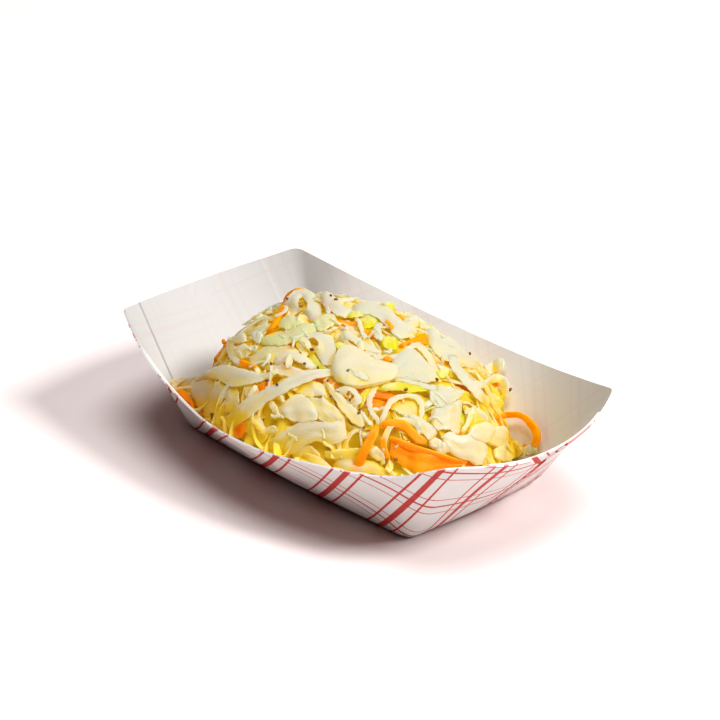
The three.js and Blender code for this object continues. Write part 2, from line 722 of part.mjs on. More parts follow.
// All the pieces fused to the core, without any scrap that touches nothing.
function coleslawGeometry() {
  const fuse = (heap, pieces) => pieces.reduce((solid, piece) => solid.add(toManifold(piece)), heap);
  const largest = (solid) => solid.decompose().sort((a, b) => b.volume() - a.volume())[0];
  const chunk = ribChunk(onHeap(13, -20, 2.2), onHeap(19, -5, 1.4), { width: 14, thick: 6.5 });
  const pieces = [
    chunk,
    ...leafPieces(),
    ...rolledPieces(),
    ...carrotPieces(),
    ...ribbonPieces(),
    ...scatteredShreds(),
  ];
  const heap = largest(fuse(toManifold(coreGeometry()), pieces));
  return weld(fromManifold(largest(fuse(heap, seeds(heap))).simplify(0.03)));
}

// ---------------------------------------------------------------- the object

const paperboard = new THREE.MeshStandardMaterial({ color: 0xf1eeea, roughness: 0.7, metalness: 0 });
const slaw = new THREE.MeshStandardMaterial({ color: 0xefe3b4, roughness: 0.35, metalness: 0 });

const tray = new THREE.Mesh(trayGeometry(), paperboard);
tray.name = 'tray';

const coleslaw = new THREE.Mesh(coleslawGeometry(), slaw);
coleslaw.name = 'coleslaw';

const group = new THREE.Group();
group.add(tray, coleslaw);

export default group;
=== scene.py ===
"""Coleslaw in a folded paperboard food tray, dressed round its packed frame.

Shapes are worked out in millimetres and go into their meshes in metres. +X runs along the
tray and +Z is up. A place in the view is a column and a row of a square picture VIEW_SIZE
pixels wide, and it stands for the point where the camera's ray meets the heap.
"""

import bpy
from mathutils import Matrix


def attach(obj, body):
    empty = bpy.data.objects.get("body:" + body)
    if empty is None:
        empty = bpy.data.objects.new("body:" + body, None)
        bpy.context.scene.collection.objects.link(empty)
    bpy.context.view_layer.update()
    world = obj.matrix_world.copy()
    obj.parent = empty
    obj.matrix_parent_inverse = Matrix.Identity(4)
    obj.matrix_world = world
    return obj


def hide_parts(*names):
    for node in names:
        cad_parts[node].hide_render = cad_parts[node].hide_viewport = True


bl_info = {
    "name": "Coleslaw in a paper tray",
    "version": (1, 0, 0),
    "blender": (4, 5, 0),
    "location": "3D View > Sidebar > Slaw",
    "description": "Builds a heap of cabbage and carrot slaw in a folded paper food tray",
    "category": "Add Mesh",
}

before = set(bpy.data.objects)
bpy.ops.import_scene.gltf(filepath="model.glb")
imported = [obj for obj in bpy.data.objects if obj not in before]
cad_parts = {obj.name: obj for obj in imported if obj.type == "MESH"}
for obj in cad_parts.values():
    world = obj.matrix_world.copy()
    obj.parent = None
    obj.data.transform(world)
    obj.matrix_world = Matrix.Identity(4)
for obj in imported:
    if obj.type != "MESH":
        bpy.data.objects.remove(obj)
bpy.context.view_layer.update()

import functools
from types import SimpleNamespace
from typing import NamedTuple

import bpy
import numpy as np
from bpy.props import FloatProperty, FloatVectorProperty, IntProperty, PointerProperty
from mathutils import Matrix

MM = 0.001

# ---------------------------------------------------------------- the view

# The camera: the side of its square picture in pixels, its lens and sensor in mm, the point it
# looks at and how far away that is in mm, and its azimuth, elevation and roll in degrees.
VIEW_SIZE = 720
LENS = 150.0
SENSOR = 36.0
AIM = (-8.84, 7.79, 24.54)
DISTANCE = 860.0
AZIMUTH = 45.592
ELEVATION = 25.831
ROLL = 1.406


def view_axes():
    """Right, up and back of the camera, from its azimuth, elevation and roll."""
    azimuth, elevation, roll = np.radians([AZIMUTH, ELEVATION, ROLL])
    flat = np.cos(elevation)
    back = np.array([np.sin(azimuth) * flat, -np.cos(azimuth) * flat, np.sin(elevation)])
    level = np.array([np.cos(azimuth), np.sin(azimuth), 0.0])
    rise = np.cross(back, level)
    right = level * np.cos(roll) + rise * np.sin(roll)
    up = rise * np.cos(roll) - level * np.sin(roll)
    return right, up, back


def view_rays(places):
    """The camera's point, and for each place the step that goes one millimetre deeper."""
    right, up, back = view_axes()
    eye = np.array(AIM) + back * DISTANCE
    scale = SENSOR / LENS / VIEW_SIZE
    columns = (places[..., :1] - VIEW_SIZE / 2) * scale
    rows = (places[..., 1:] - VIEW_SIZE / 2) * scale
    return eye, columns * right - rows * up - back


# ---------------------------------------------------------------- settings

def length_property(name, millimetres, text):
    """A length in metres whose default is given in millimetres."""
    return FloatProperty(name=name, description=text, default=millimetres * MM, unit="LENGTH", precision=5)


def colour_property(name, colour, text):
    """A linear colour."""
    return FloatVectorProperty(name=name, description=text, default=colour, subtype="COLOR", min=0, max=1)


class TraySettings(bpy.types.PropertyGroup):
    """Sizes and colours of the folded tray."""

    board: length_property("Board", 0.5, "Thickness of the paperboard")
    corner_length: length_property("Corner length", 64.4, "Middle to a rim corner, along the tray")
    corner_width: length_property("Corner width", 34.4, "Middle to a rim corner, across the tray")
    corner_height: length_property("Corner height", 33.8, "Height of the rim's corners")
    side_bow: length_property("Side bow", 14.3, "How far a long rim bows out between its corners")
    side_dip: length_property("Side dip", 11.9, "How far a long rim dips between its corners")
    end_bow: length_property("End bow", 8.6, "How far a short rim bows out between its corners")
    end_dip: length_property("End dip", 4.6, "How far a short rim dips between its corners")
    base_length: length_property("Base length", 43.8, "Middle to the base's short edge")
    base_width: length_property("Base width", 24.5, "Middle to the base's long edge")
    softness: FloatProperty(name="Fold softness", default=0.11, min=0.01, max=1,
                            description="How gently the walls leave the base, as a share of a wall")
    paper: colour_property("Paper", (0.85, 0.83, 0.81), "Colour of the bare board")
    ink: colour_property("Ink", (0.56, 0.030, 0.022), "Colour of the printed lines")


class HeapSettings(bpy.types.PropertyGroup):
    """Form of the heap and the number of loose pieces in it."""

    centre_x: length_property("Centre X", -6, "The dome's middle, along the tray")
    centre_y: length_property("Centre Y", 0.5, "The dome's middle, across the tray")
    left: length_property("Left", 41, "The dome's reach to the left")
    right: length_property("Right", 53, "The dome's reach to the right")
    near: length_property("Near", 46, "The dome's reach to the near side")
    far: length_property("Far", 42, "The dome's reach to the far side")
    height: length_property("Height", 42, "Height of the dome")
    bed: length_property("Bed", 15.5, "Height of the low slaw round the dome")
    loose: IntProperty(name="Loose pieces", default=470, min=0, max=900,
                       description="How many shreds are laid down to fill the heap")
    threads: IntProperty(name="Top threads", default=45, min=0, max=300,
                         description="How many thin threads are laid over the heap at the end")
    chips: IntProperty(name="Chips", default=130, min=0, max=600,
                       description="How many small chips are strewn on the heap")
    seeds: IntProperty(name="Seeds", default=4, min=0, max=300,
                       description="How many celery seeds are strewn on the heap")
    seed: IntProperty(name="Random seed", default=7, min=0,
                      description="Another number lays the loose pieces another way")


class FoodSettings(bpy.types.PropertyGroup):
    """Colours of the slaw."""

    cabbage: colour_property("Cabbage", (0.67, 0.735, 0.66), "Colour of a white shred")
    ripe: colour_property("Yellow cabbage", (0.93, 0.81, 0.21), "Colour of the yellowest shred")
    # The deep colour is painted shade: the golden that shreds take where the pile hides them from the sky.
    deep: colour_property("Deep cabbage", (0.97, 0.70, 0.03), "Colour of shreds deep in the heap")
    green: colour_property("Pale green", (0.77, 0.81, 0.60), "Colour of the palest green strip")
    leaf: colour_property("Leaf green", (0.80, 0.77, 0.03), "Colour of the greenest strip")
    carrot: colour_property("Carrot", (0.92, 0.46, 0.002), "Colour of a pale carrot strip")
    core: colour_property("Dark carrot", (0.93, 0.30, 0.002), "Colour of a dark carrot strip")
    seed: colour_property("Celery seed", (0.22, 0.09, 0.03), "Colour of the celery seeds")


class StageSettings(bpy.types.PropertyGroup):
    """Floor and lights."""

    floor: colour_property("Floor", (0.82, 0.745, 0.73), "Colour of the floor")
    key: FloatProperty(name="Key light", default=66.0, min=0, unit="POWER",
                       description="Power of the large light on the right")
    top: FloatProperty(name="Top light", default=37.0, min=0, unit="POWER",
                       description="Power of the large light overhead")
    fill: FloatProperty(name="Fill", default=0.02, min=0, description="Strength of the light all round")


SETTINGS = {
    "slaw_tray": TraySettings,
    "slaw_heap": HeapSettings,
    "slaw_food": FoodSettings,
    "slaw_stage": StageSettings,
}


def in_millimetres(name):
    """The numbers of a group of settings under their own names, with its lengths in mm."""
    group = getattr(bpy.context.scene, name)
    values = SimpleNamespace()
    for key, kind in group.bl_rna.properties.items():
        if kind.type in {"FLOAT", "INT"} and not getattr(kind, "is_array", False):
            value = getattr(group, key)
            is_length = kind.type == "FLOAT" and kind.unit == "LENGTH"
            setattr(values, key, value / MM if is_length else value)
    return values


# ---------------------------------------------------------------- pieces placed in the view

class Sheet(NamedTuple):
    """A flat piece seen between two edges, each a row of places in the view that gives their
    columns and rows in turn.

    lift is how far it lies above the heap's mean height, and inner_lift the same for its
    second edge where that differs. tone runs from the palest colour of its kind to the
    strongest and grows by fade from edge to edge, a painted shade that leaves the lit edge
    paler and the shaded one more golden. bulge is how far its middle stands out, and thick
    its thickness.
    """

    name: str
    edges: tuple
    lift: float = 1.0
    inner_lift: float = None
    tone: float = 0.2
    fade: float = 0.5
    bulge: float = 0.6
    thick: float = 0.34


LEAVES = (
    Sheet("left_fold", lift=2.6, tone=0.15, fade=0.8, bulge=0.8, edges=(
        (191, 381, 201, 375, 211, 369, 221, 366, 232, 366, 245, 370, 259, 373, 274, 375),
        (192, 384, 201, 380, 211, 378, 219, 380, 228, 385, 240, 386, 257, 382, 274, 377))),
    Sheet("left_curtain", lift=0.7, tone=0.5, bulge=0.8, edges=(
        (191, 383, 192, 394, 198, 407, 207, 419),
        (213, 379, 213, 391, 210, 403, 210, 420))),
    Sheet("left_curtain_inner", lift=1.4, tone=0.45, bulge=0.8, edges=(
        (215, 381, 213, 390, 209, 401, 208, 413),
        (226, 386, 226, 394, 221, 403, 215, 413))),
    Sheet("left_curtain_right", lift=1, tone=0.45, bulge=0.8, edges=(
        (227, 387, 226, 397, 226, 405, 225, 412),
        (237, 387, 239, 397, 239, 405, 234, 413))),
    Sheet("short_tongue", lift=1.4, tone=0.25, bulge=0.6, edges=(
        (246, 385, 245, 394, 248, 400),
        (257, 385, 259, 394, 253, 399))),
    Sheet("long_ribbon", lift=2.8, tone=0.15, bulge=0.5, edges=(
        (226, 420, 235, 410, 246, 399, 259, 393, 273, 386, 288, 378, 305, 372, 320, 369, 333, 370),
        (230, 429, 240, 424, 252, 415, 266, 403, 282, 394, 299, 386, 315, 379, 334, 376))),
    Sheet("tan_leaf", lift=0.8, tone=0.45, bulge=1, edges=(
        (249, 358, 257, 351, 268, 345, 281, 345, 292, 347, 300, 351),
        (251, 363, 261, 366, 270, 365, 277, 359, 287, 354, 298, 354))),
    Sheet("loop_arch", lift=1.8, tone=0.15, bulge=0.5, edges=(
        (274, 366, 277, 358, 284, 353, 292, 351, 302, 354, 310, 360, 317, 368),
        (281, 367, 285, 362, 290, 359, 296, 361, 301, 364, 306, 367, 312, 370))),
    Sheet("loop_band", lift=1.4, tone=0.2, bulge=0.5, edges=(
        (258, 364, 271, 366, 284, 365, 292, 367, 303, 370, 315, 370, 334, 369),
        (264, 369, 278, 374, 292, 377, 306, 376, 320, 374, 334, 373))),
    Sheet("front_leaf", lift=2.2, tone=0.2, bulge=0.8, edges=(
        (270, 441, 284, 431, 296, 424, 313, 421, 332, 423, 344, 416),
        (264, 448, 277, 452, 291, 454, 303, 447, 315, 441, 332, 444, 347, 439))),
    Sheet("clear_leaf", lift=1.2, tone=0.5, bulge=0.8, edges=(
        (307, 397, 318, 398, 325, 400, 333, 406, 341, 412, 345, 417),
        (315, 413, 320, 420, 329, 423, 336, 423, 341, 422, 345, 418))),
    Sheet("pocket", lift=1.7, tone=0.25, bulge=1.3, edges=(
        (277, 410, 284, 403, 292, 397, 299, 395, 306, 397, 313, 405, 319, 415),
        (283, 416, 291, 420, 299, 422, 306, 422, 312, 421, 316, 420, 319, 417))),
    Sheet("pocket_spike", lift=1.6, tone=0.15, bulge=0.3, edges=(
        (270, 398, 276, 405, 279, 413),
        (269, 405, 273, 412, 281, 418))),
    Sheet("diagonal_ribbon", lift=1.6, tone=0.5, bulge=0.6, edges=(
        (325, 379, 336, 391, 347, 401, 357, 411, 365, 422),
        (323, 381, 333, 397, 341, 410, 351, 421, 363, 429))),
    Sheet("beige_oval", lift=0.9, tone=0.35, bulge=0.8, edges=(
        (294, 389, 303, 383, 316, 382, 324, 386),
        (299, 396, 310, 397, 320, 395, 327, 397))),
    Sheet("crown_rib", lift=2.2, tone=0.1, bulge=0.8, edges=(
        (318, 293, 328, 292, 339, 300, 347, 307, 355, 312),
        (319, 298, 323, 305, 329, 310, 337, 315, 347, 318))),
    Sheet("crown_band", lift=2.4, tone=0.1, bulge=1, edges=(
        (350, 310, 357, 304, 371, 301, 382, 305, 392, 312, 402, 320, 411, 326, 418, 331),
        (352, 312, 360, 313, 370, 315, 379, 319, 386, 326, 393, 333, 402, 339, 416, 334))),
    Sheet("back_leaf", lift=1.2, tone=0.15, bulge=1, edges=(
        (426, 330, 430, 327, 438, 333, 441, 338, 448, 337, 454, 340, 462, 347, 472, 354, 479, 359,
         486, 368),
        (428, 342, 433, 351, 439, 356, 447, 361, 454, 364, 462, 367, 468, 368, 475, 369, 480, 369,
         485, 370))),
    Sheet("crown_chip", lift=2, tone=0.35, bulge=0.4, edges=(
        (402, 324, 408, 319, 414, 315, 419, 318),
        (405, 327, 411, 328, 416, 328, 420, 324))),
    Sheet("broad_clear_leaf", lift=2.9, tone=0.2, bulge=0.7, edges=(
        (390, 363, 398, 355, 408, 350, 415, 350, 421, 356, 431, 366, 439, 376),
        (391, 377, 402, 378, 414, 380, 424, 382, 430, 382, 437, 381, 442, 382))),
    Sheet("pale_streak", lift=2.4, tone=0.1, bulge=0.3, edges=(
        (391, 376, 402, 378, 417, 382, 431, 385, 442, 387),
        (391, 380, 402, 382, 416, 385, 430, 390, 440, 393))),
    Sheet("pale_flag", lift=2.2, tone=0.2, bulge=0.8, edges=(
        (431, 385, 442, 386, 453, 388, 465, 390),
        (430, 397, 435, 406, 448, 405, 462, 396))),
    Sheet("tan_cup", lift=0.8, tone=0.5, bulge=-1, edges=(
        (390, 403, 398, 398, 407, 397, 416, 400, 420, 406),
        (390, 408, 397, 412, 406, 417, 415, 419, 420, 419))),
    Sheet("curved_plate", lift=1.9, tone=0.25, bulge=1.8, edges=(
        (431, 408, 440, 407, 449, 403, 457, 400, 462, 401),
        (432, 426, 438, 430, 448, 429, 454, 433, 459, 434))),
    Sheet("lower_band", lift=1.7, tone=0.1, bulge=0.6, edges=(
        (407, 414, 416, 416, 426, 421, 434, 428, 437, 432),
        (408, 419, 415, 426, 421, 432, 428, 439, 433, 440))),
    Sheet("right_ribbon", lift=2, tone=0.1, bulge=0.6, edges=(
        (449, 346, 456, 356, 463, 369, 471, 379, 480, 388, 487, 397),
        (444, 346, 447, 356, 453, 370, 462, 381, 472, 393, 483, 404))),
    Sheet("right_tongue", lift=1.6, tone=0.15, bulge=0.6, edges=(
        (478, 369, 488, 364, 497, 359, 503, 359, 505, 364),
        (482, 377, 490, 374, 497, 372, 502, 370, 504, 366))),
    Sheet("rim_strip", lift=0.4, tone=0.15, bulge=0.5, edges=(
        (334, 464, 340, 458, 355, 459, 374, 462, 383, 467, 397, 473),
        (333, 468, 346, 471, 362, 473, 376, 474, 388, 475, 397, 475))),
    Sheet("low_triangle", lift=1.2, tone=0.1, bulge=0.5, edges=(
        (292, 456, 300, 448, 310, 446, 318, 452, 323, 464),
        (298, 458, 304, 456, 309, 457, 313, 462, 317, 465))),
    Sheet("golden_strip", lift=0.6, tone=0.85, bulge=0.5, edges=(
        (325, 451, 341, 449, 362, 448, 378, 446),
        (325, 458, 341, 460, 360, 457, 377, 452))),
    Sheet("left_hoop", lift=1.8, tone=0.1, bulge=0.5, edges=(
        (229, 338, 226, 345, 228, 354, 233, 362, 241, 367),
        (236, 337, 233, 345, 234, 352, 239, 359, 248, 366))),
    Sheet("left_chip", lift=1.5, tone=0.5, bulge=0.5, edges=(
        (234, 351, 239, 346, 246, 344, 250, 350),
        (235, 357, 240, 358, 246, 357, 251, 353))),
    Sheet("left_flap", lift=2.2, tone=0.1, bulge=0.3, edges=(
        (228, 337, 236, 336, 243, 333, 247, 337),
        (233, 344, 238, 343, 244, 342, 247, 341))),
    Sheet("olive_strip", lift=0.8, tone=0.7, bulge=0.4, edges=(
        (243, 331, 253, 328, 264, 325, 271, 324),
        (245, 336, 254, 335, 264, 334, 271, 331))),
    Sheet("white_flap", lift=1.6, tone=0.1, bulge=0.3, edges=(
        (250, 333, 257, 331, 263, 335),
        (252, 338, 257, 343, 261, 341))),
    Sheet("thin_drape", lift=2.2, tone=0.25, bulge=0.4, edges=(
        (382, 354, 391, 355, 400, 353, 407, 347, 415, 343, 423, 345, 430, 354, 435, 364, 442, 374),
        (384, 358, 392, 360, 402, 358, 409, 352, 415, 348, 420, 350, 425, 357, 431, 368, 438, 377))),
    Sheet("front_arch", lift=2.2, tone=0.3, bulge=0.3, edges=(
        (379, 426, 382, 412, 389, 400, 398, 395, 409, 394, 418, 396, 424, 402, 424, 411, 422, 422),
        (384, 426, 387, 414, 393, 404, 400, 399, 409, 398, 416, 400, 419, 405, 419, 412, 418, 422))),
    Sheet("arch_limb", lift=1.8, tone=0.1, bulge=0.4, edges=(
        (375, 385, 368, 395, 367, 406, 371, 415, 379, 426),
        (379, 387, 374, 396, 372, 405, 375, 413, 381, 422))),
    Sheet("fork_left", lift=1.6, tone=0.05, bulge=0.3, edges=(
        (360, 409, 364, 413, 368, 419, 372, 422),
        (360, 415, 364, 419, 368, 424, 373, 426))),
    Sheet("thin_upright", lift=2.6, tone=0.05, bulge=0.2, edges=(
        (430, 389, 430, 397, 431, 404),
        (433, 389, 434, 397, 434, 405))),
    Sheet("right_upright", lift=1.5, tone=0.3, bulge=0.3, edges=(
        (460, 432, 466, 422, 468, 415, 472, 407),
        (464, 433, 470, 424, 473, 417, 475, 408))),
    Sheet("mid_strands", lift=1.5, tone=0.15, bulge=0.4, edges=(
        (360, 350, 370, 352, 380, 354, 389, 360),
        (360, 355, 369, 357, 378, 359, 387, 361))),
    Sheet("mid_strand_low", lift=1.6, tone=0.2, bulge=0.5, edges=(
        (339, 330, 348, 331, 360, 339, 376, 348, 382, 351),
        (343, 338, 353, 342, 362, 348, 374, 354, 381, 355))),
    Sheet("mid_upright", lift=1.9, tone=0.15, bulge=0.3, edges=(
        (354, 317, 357, 323, 361, 334, 364, 341),
        (359, 318, 362, 324, 365, 333, 369, 338))),
    Sheet("right_upper_ribbon", lift=1.8, tone=0.25, bulge=0.5, edges=(
        (435, 334, 437, 342, 438, 351, 442, 360),
        (443, 338, 446, 344, 448, 351, 449, 357))),
    Sheet("crown_drop", lift=2.2, tone=0.1, bulge=0.5, edges=(
        (377, 323, 373, 329, 375, 337, 382, 342),
        (384, 323, 381, 329, 382, 334, 386, 338))),
)

CHUNKS = (
    Sheet("rib_chunk", lift=2.4, thick=1.9, tone=0.15, fade=1.7, bulge=2.4, edges=(
        (335, 374, 334, 364, 337, 353, 343, 347, 352, 347, 361, 352, 372, 359, 384, 363, 397, 366),
        (338, 380, 344, 384, 350, 386, 358, 387, 366, 386, 374, 385, 382, 383, 390, 381, 397, 377))),
    Sheet("rib_flake", lift=4.0, thick=0.5, tone=0.0, bulge=0.4, edges=(
        (345, 368, 352, 370, 362, 373, 371, 377),
        (346, 371, 353, 375, 362, 379, 372, 382))),
    Sheet("white_block", lift=1.2, thick=1.6, tone=-0.2, bulge=0.8, edges=(
        (441, 438, 449, 432, 459, 436, 468, 435, 477, 439, 486, 446),
        (443, 441, 450, 451, 459, 458, 470, 461, 479, 465, 486, 455))),
    Sheet("upper_block", lift=1.5, thick=1.5, tone=-0.2, bulge=0.8, edges=(
        (468, 435, 472, 427, 481, 423, 489, 424, 494, 429),
        (470, 438, 476, 442, 485, 443, 492, 438, 495, 433))),
    Sheet("clear_block", lift=1.2, thick=1.2, tone=-0.3, bulge=0.5, edges=(
        (495, 428, 502, 426, 508, 432, 513, 439),
        (488, 443, 498, 447, 507, 452, 514, 449))),
    Sheet("end_block", lift=1.8, thick=1.4, tone=-0.4, bulge=0.6, edges=(
        (501, 443, 506, 437, 513, 439, 519, 445),
        (502, 449, 508, 454, 514, 455, 519, 452))),
    Sheet("end_flake", lift=2.0, thick=1.2, tone=-0.4, bulge=0.5, edges=(
        (494, 450, 501, 446, 509, 449, 515, 453),
        (495, 457, 502, 461, 510, 460, 515, 457))),
    Sheet("rim_wedge", lift=1.6, thick=1.2, tone=-0.4, bulge=0.3, edges=(
        (511, 447, 517, 441, 522, 448),
        (513, 455, 518, 457, 523, 453))),
    Sheet("rim_block", lift=0.8, thick=1.6, tone=-0.4, bulge=0.3, edges=(
        (524, 450, 529, 446, 536, 448),
        (525, 454, 530, 455, 537, 453))),
    Sheet("low_lump", lift=1.2, thick=1.3, tone=0.1, bulge=0.3, edges=(
        (370, 452, 375, 447, 381, 451, 383, 456),
        (371, 456, 375, 459, 379, 461, 383, 459))),
    Sheet("row_lump_a", lift=1.2, thick=1.3, tone=0.1, bulge=0.3, edges=(
        (430, 442, 435, 438, 441, 442),
        (431, 447, 437, 449, 442, 447))),
    Sheet("row_lump_b", lift=1.2, thick=1.3, tone=0.05, bulge=0.3, edges=(
        (435, 447, 442, 443, 448, 447),
        (437, 452, 442, 454, 448, 452))),
)

RINGS = (
    Sheet("crown_ring", lift=1.2, tone=0.1, bulge=-0.4, inner_lift=3, edges=(
        (287, 321, 284, 312, 285, 302, 289, 295, 296, 290, 306, 290, 315, 295, 320, 302, 321, 312,
         317, 319, 310, 324),
        (302, 310, 299, 307, 298, 302, 299, 299, 301, 297, 304, 298, 307, 301, 307, 305, 307, 308,
         305, 310, 303, 310))),
    Sheet("middle_ring", lift=1, tone=0.2, bulge=-0.3, inner_lift=2.2, edges=(
        (307, 357, 299, 351, 296, 343, 300, 335, 310, 331, 322, 331, 331, 336, 336, 346, 335, 356,
         334, 365, 323, 365),
        (310, 347, 306, 347, 303, 344, 305, 341, 308, 339, 313, 338, 316, 339, 318, 342, 318, 345,
         316, 347, 313, 348))),
    Sheet("front_oval", lift=0.8, tone=0.35, bulge=0.2, inner_lift=2, edges=(
        (252, 438, 246, 431, 245, 423, 250, 417, 258, 416, 264, 424, 267, 434, 265, 442, 259, 445),
        (254, 429, 252, 427, 250, 424, 251, 423, 254, 425, 257, 429, 260, 432, 260, 434, 257, 432))),
    Sheet("small_cup", lift=1.6, tone=0.3, bulge=0.2, inner_lift=2.6, edges=(
        (341, 398, 337, 392, 343, 386, 351, 386, 359, 394, 361, 401, 356, 407, 350, 405),
        (348, 397, 346, 395, 346, 393, 348, 391, 351, 392, 354, 395, 354, 398, 351, 399))),
    Sheet("right_ring", lift=1.5, tone=0.3, bulge=0.2, inner_lift=1.2, edges=(
        (481, 405, 486, 397, 493, 394, 498, 397, 502, 402),
        (488, 408, 490, 402, 493, 399, 495, 400, 497, 404))),
    Sheet("right_ring_top", lift=1.8, tone=0.15, bulge=0.5, inner_lift=1.4, edges=(
        (472, 377, 480, 382, 489, 377, 498, 374, 506, 378, 509, 388, 507, 398),
        (475, 384, 481, 388, 489, 385, 496, 382, 500, 384, 502, 391, 501, 399))),
)

GREENS = (
    Sheet("green_sweep", lift=2, tone=0.3, bulge=0.5, edges=(
        (261, 337, 271, 336, 284, 333, 295, 327, 305, 323, 316, 324),
        (260, 343, 270, 345, 287, 344, 299, 340, 308, 334, 320, 329))),
    Sheet("green_tip", lift=2, tone=0.1, bulge=0.4, edges=(
        (311, 322, 320, 316, 329, 314, 337, 315),
        (315, 329, 323, 331, 332, 326, 337, 322))),
    Sheet("crown_green", lift=2, tone=0.9, bulge=0.3, edges=(
        (347, 315, 354, 311, 367, 311),
        (348, 318, 358, 317, 367, 314))),
    Sheet("crown_green_low", lift=1, tone=0.9, bulge=0.4, edges=(
        (362, 321, 371, 315, 378, 320),
        (364, 328, 371, 327, 378, 324))),
    Sheet("silhouette_green", lift=2.8, tone=0.7, bulge=0.3, edges=(
        (382, 306, 387, 302, 394, 303),
        (385, 312, 391, 315, 394, 310))),
    Sheet("middle_green", lift=2, tone=1, bulge=0.5, edges=(
        (381, 341, 386, 337, 391, 337, 397, 338),
        (383, 347, 389, 349, 393, 350, 397, 350))),
    Sheet("drape_green", lift=2.6, tone=0.8, bulge=0.3, edges=(
        (436, 372, 443, 369, 450, 369),
        (438, 377, 443, 378, 448, 374))),
    Sheet("green_edge", lift=1.8, tone=0.9, bulge=0.4, edges=(
        (377, 390, 386, 384, 397, 382, 410, 383, 421, 386, 432, 389),
        (383, 392, 396, 390, 408, 392, 416, 392, 426, 391, 432, 391))),
    Sheet("small_green", lift=1.4, tone=0.9, bulge=0.2, edges=(
        (334, 344, 340, 342, 344, 344),
        (336, 348, 341, 349, 344, 347))),
    Sheet("left_green_edge", lift=1.2, tone=0.7, bulge=0.3, edges=(
        (360, 395, 365, 390, 370, 388),
        (361, 408, 365, 402, 372, 392))),
    Sheet("under_ring_green", lift=0.8, tone=0.3, bulge=0.5, edges=(
        (278, 322, 287, 316, 298, 317, 304, 322),
        (278, 327, 287, 329, 295, 327, 303, 324))),
)

# A strip of carrot is thicker than a leaf and flatter.
Strip = functools.partial(Sheet, bulge=0.4, thick=1.2)

CARROTS = (
    Strip("tall_carrot", lift=1.6, tone=0.7, edges=(
        (283, 303, 278, 314, 272, 325, 266, 333),
        (286, 305, 284, 312, 278, 322, 272, 331))),
    Strip("crown_carrot", lift=2.6, tone=0.4, edges=(
        (284, 303, 286, 296, 292, 290, 299, 288, 305, 288),
        (287, 303, 289, 297, 294, 293, 300, 290, 305, 290))),
    Strip("wedge_carrot", lift=2, tone=0.4, edges=(
        (400, 346, 411, 340, 424, 333),
        (401, 348, 409, 344, 417, 344, 426, 345))),
    Strip("front_carrot", lift=2.2, tone=0.35, edges=(
        (373, 427, 364, 442, 355, 460, 350, 471),
        (379, 427, 377, 436, 368, 453, 360, 472))),
    Strip("arch_carrot", lift=1.5, tone=0.2, edges=(
        (379, 426, 385, 421, 394, 420, 405, 422, 412, 428, 420, 435, 427, 441),
        (384, 429, 389, 426, 396, 428, 404, 431, 411, 438, 417, 443, 424, 445))),
    Strip("hook_carrot", lift=1.5, tone=0.2, edges=(
        (492, 415, 500, 414, 511, 412, 522, 413, 531, 419, 538, 428, 540, 438, 537, 447),
        (493, 419, 501, 419, 511, 417, 519, 418, 527, 424, 532, 431, 534, 438, 531, 446))),
    Strip("rim_carrot", lift=3.2, tone=0.1, edges=(
        (177, 389, 187, 394, 194, 406),
        (177, 400, 186, 405, 192, 410))),
    Strip("left_thin_carrot", lift=1.2, tone=0.5, edges=(
        (222, 340, 226, 342, 227, 348, 222, 354, 215, 362),
        (223, 342, 224, 344, 225, 347, 220, 353, 214, 361))),
    Strip("middle_carrot", lift=0.8, tone=0.7, edges=(
        (257, 387, 266, 383, 273, 382),
        (259, 394, 264, 393, 271, 386))),
    Strip("upper_carrot", lift=1.2, tone=0.5, edges=(
        (239, 361, 247, 362, 259, 368),
        (241, 366, 250, 367, 258, 371))),
    Strip("low_carrot", lift=0.6, tone=0.7, edges=(
        (234, 430, 240, 424, 248, 423),
        (236, 434, 240, 438, 245, 432))),
    Strip("crown_hook", lift=2.6, tone=0.4, edges=(
        (384, 319, 390, 321, 394, 330),
        (385, 324, 388, 325, 390, 331))),
    Strip("crown_bit", lift=2.6, tone=0.3, edges=(
        (396, 316, 400, 316, 403, 319),
        (397, 318, 400, 319, 402, 321))),
    Strip("under_green_carrot", lift=0.8, tone=0.6, edges=(
        (362, 331, 368, 332, 374, 335),
        (363, 334, 368, 336, 375, 338))),
    Strip("tip_carrot", lift=1.8, tone=0.5, edges=(
        (384, 359, 387, 357, 391, 359),
        (385, 361, 388, 362, 391, 361))),
    Strip("behind_crown", lift=1.2, tone=0.3, edges=(
        (322, 302, 325, 309, 332, 312),
        (327, 302, 331, 307, 335, 310))),
    Strip("low_right_strip", lift=0.9, tone=0.25, edges=(
        (380, 438, 381, 449, 383, 459),
        (386, 438, 387, 449, 390, 459))),
    Strip("slice", lift=1.5, tone=-0.5, fade=-0.5, thick=1.0, edges=(
        (391, 440, 402, 444, 417, 451, 437, 456, 452, 461, 462, 463),
        (390, 455, 398, 463, 410, 470, 424, 474, 444, 470, 462, 465))),
    Strip("slice_edge", lift=2.1, tone=0.8, bulge=0.3, thick=1.0, edges=(
        (390, 437, 402, 440, 417, 446, 437, 452, 454, 458, 466, 461),
        (391, 442, 401, 447, 416, 453, 436, 459, 453, 463, 466, 464))),
)

# Celery seeds that show, one place in the view each.
SEED_PLACES = (
    (312, 350), (331, 397), (350, 400), (406, 390), (437, 380), (277, 385), (328, 381), (271, 364),
    (318, 368), (287, 299), (336, 300), (331, 296), (360, 410), (364, 428), (348, 371), (267, 381),
    (396, 460), (359, 413), (470, 354), (510, 390),
)

# ---------------------------------------------------------------- number helpers

# About a full turn in radians, from which the phases of waves are drawn.
TURN = 6.28
# Points read off a curve between two of its corners.
CURVE_STEPS = 12


def mix(low, high, share):
    """Straight line between two values."""
    return low + (high - low) * share


def unit(vectors):
    """The vectors at length one."""
    length = np.linalg.norm(vectors, axis=-1, keepdims=True)
    return vectors / np.maximum(length, 1e-9)


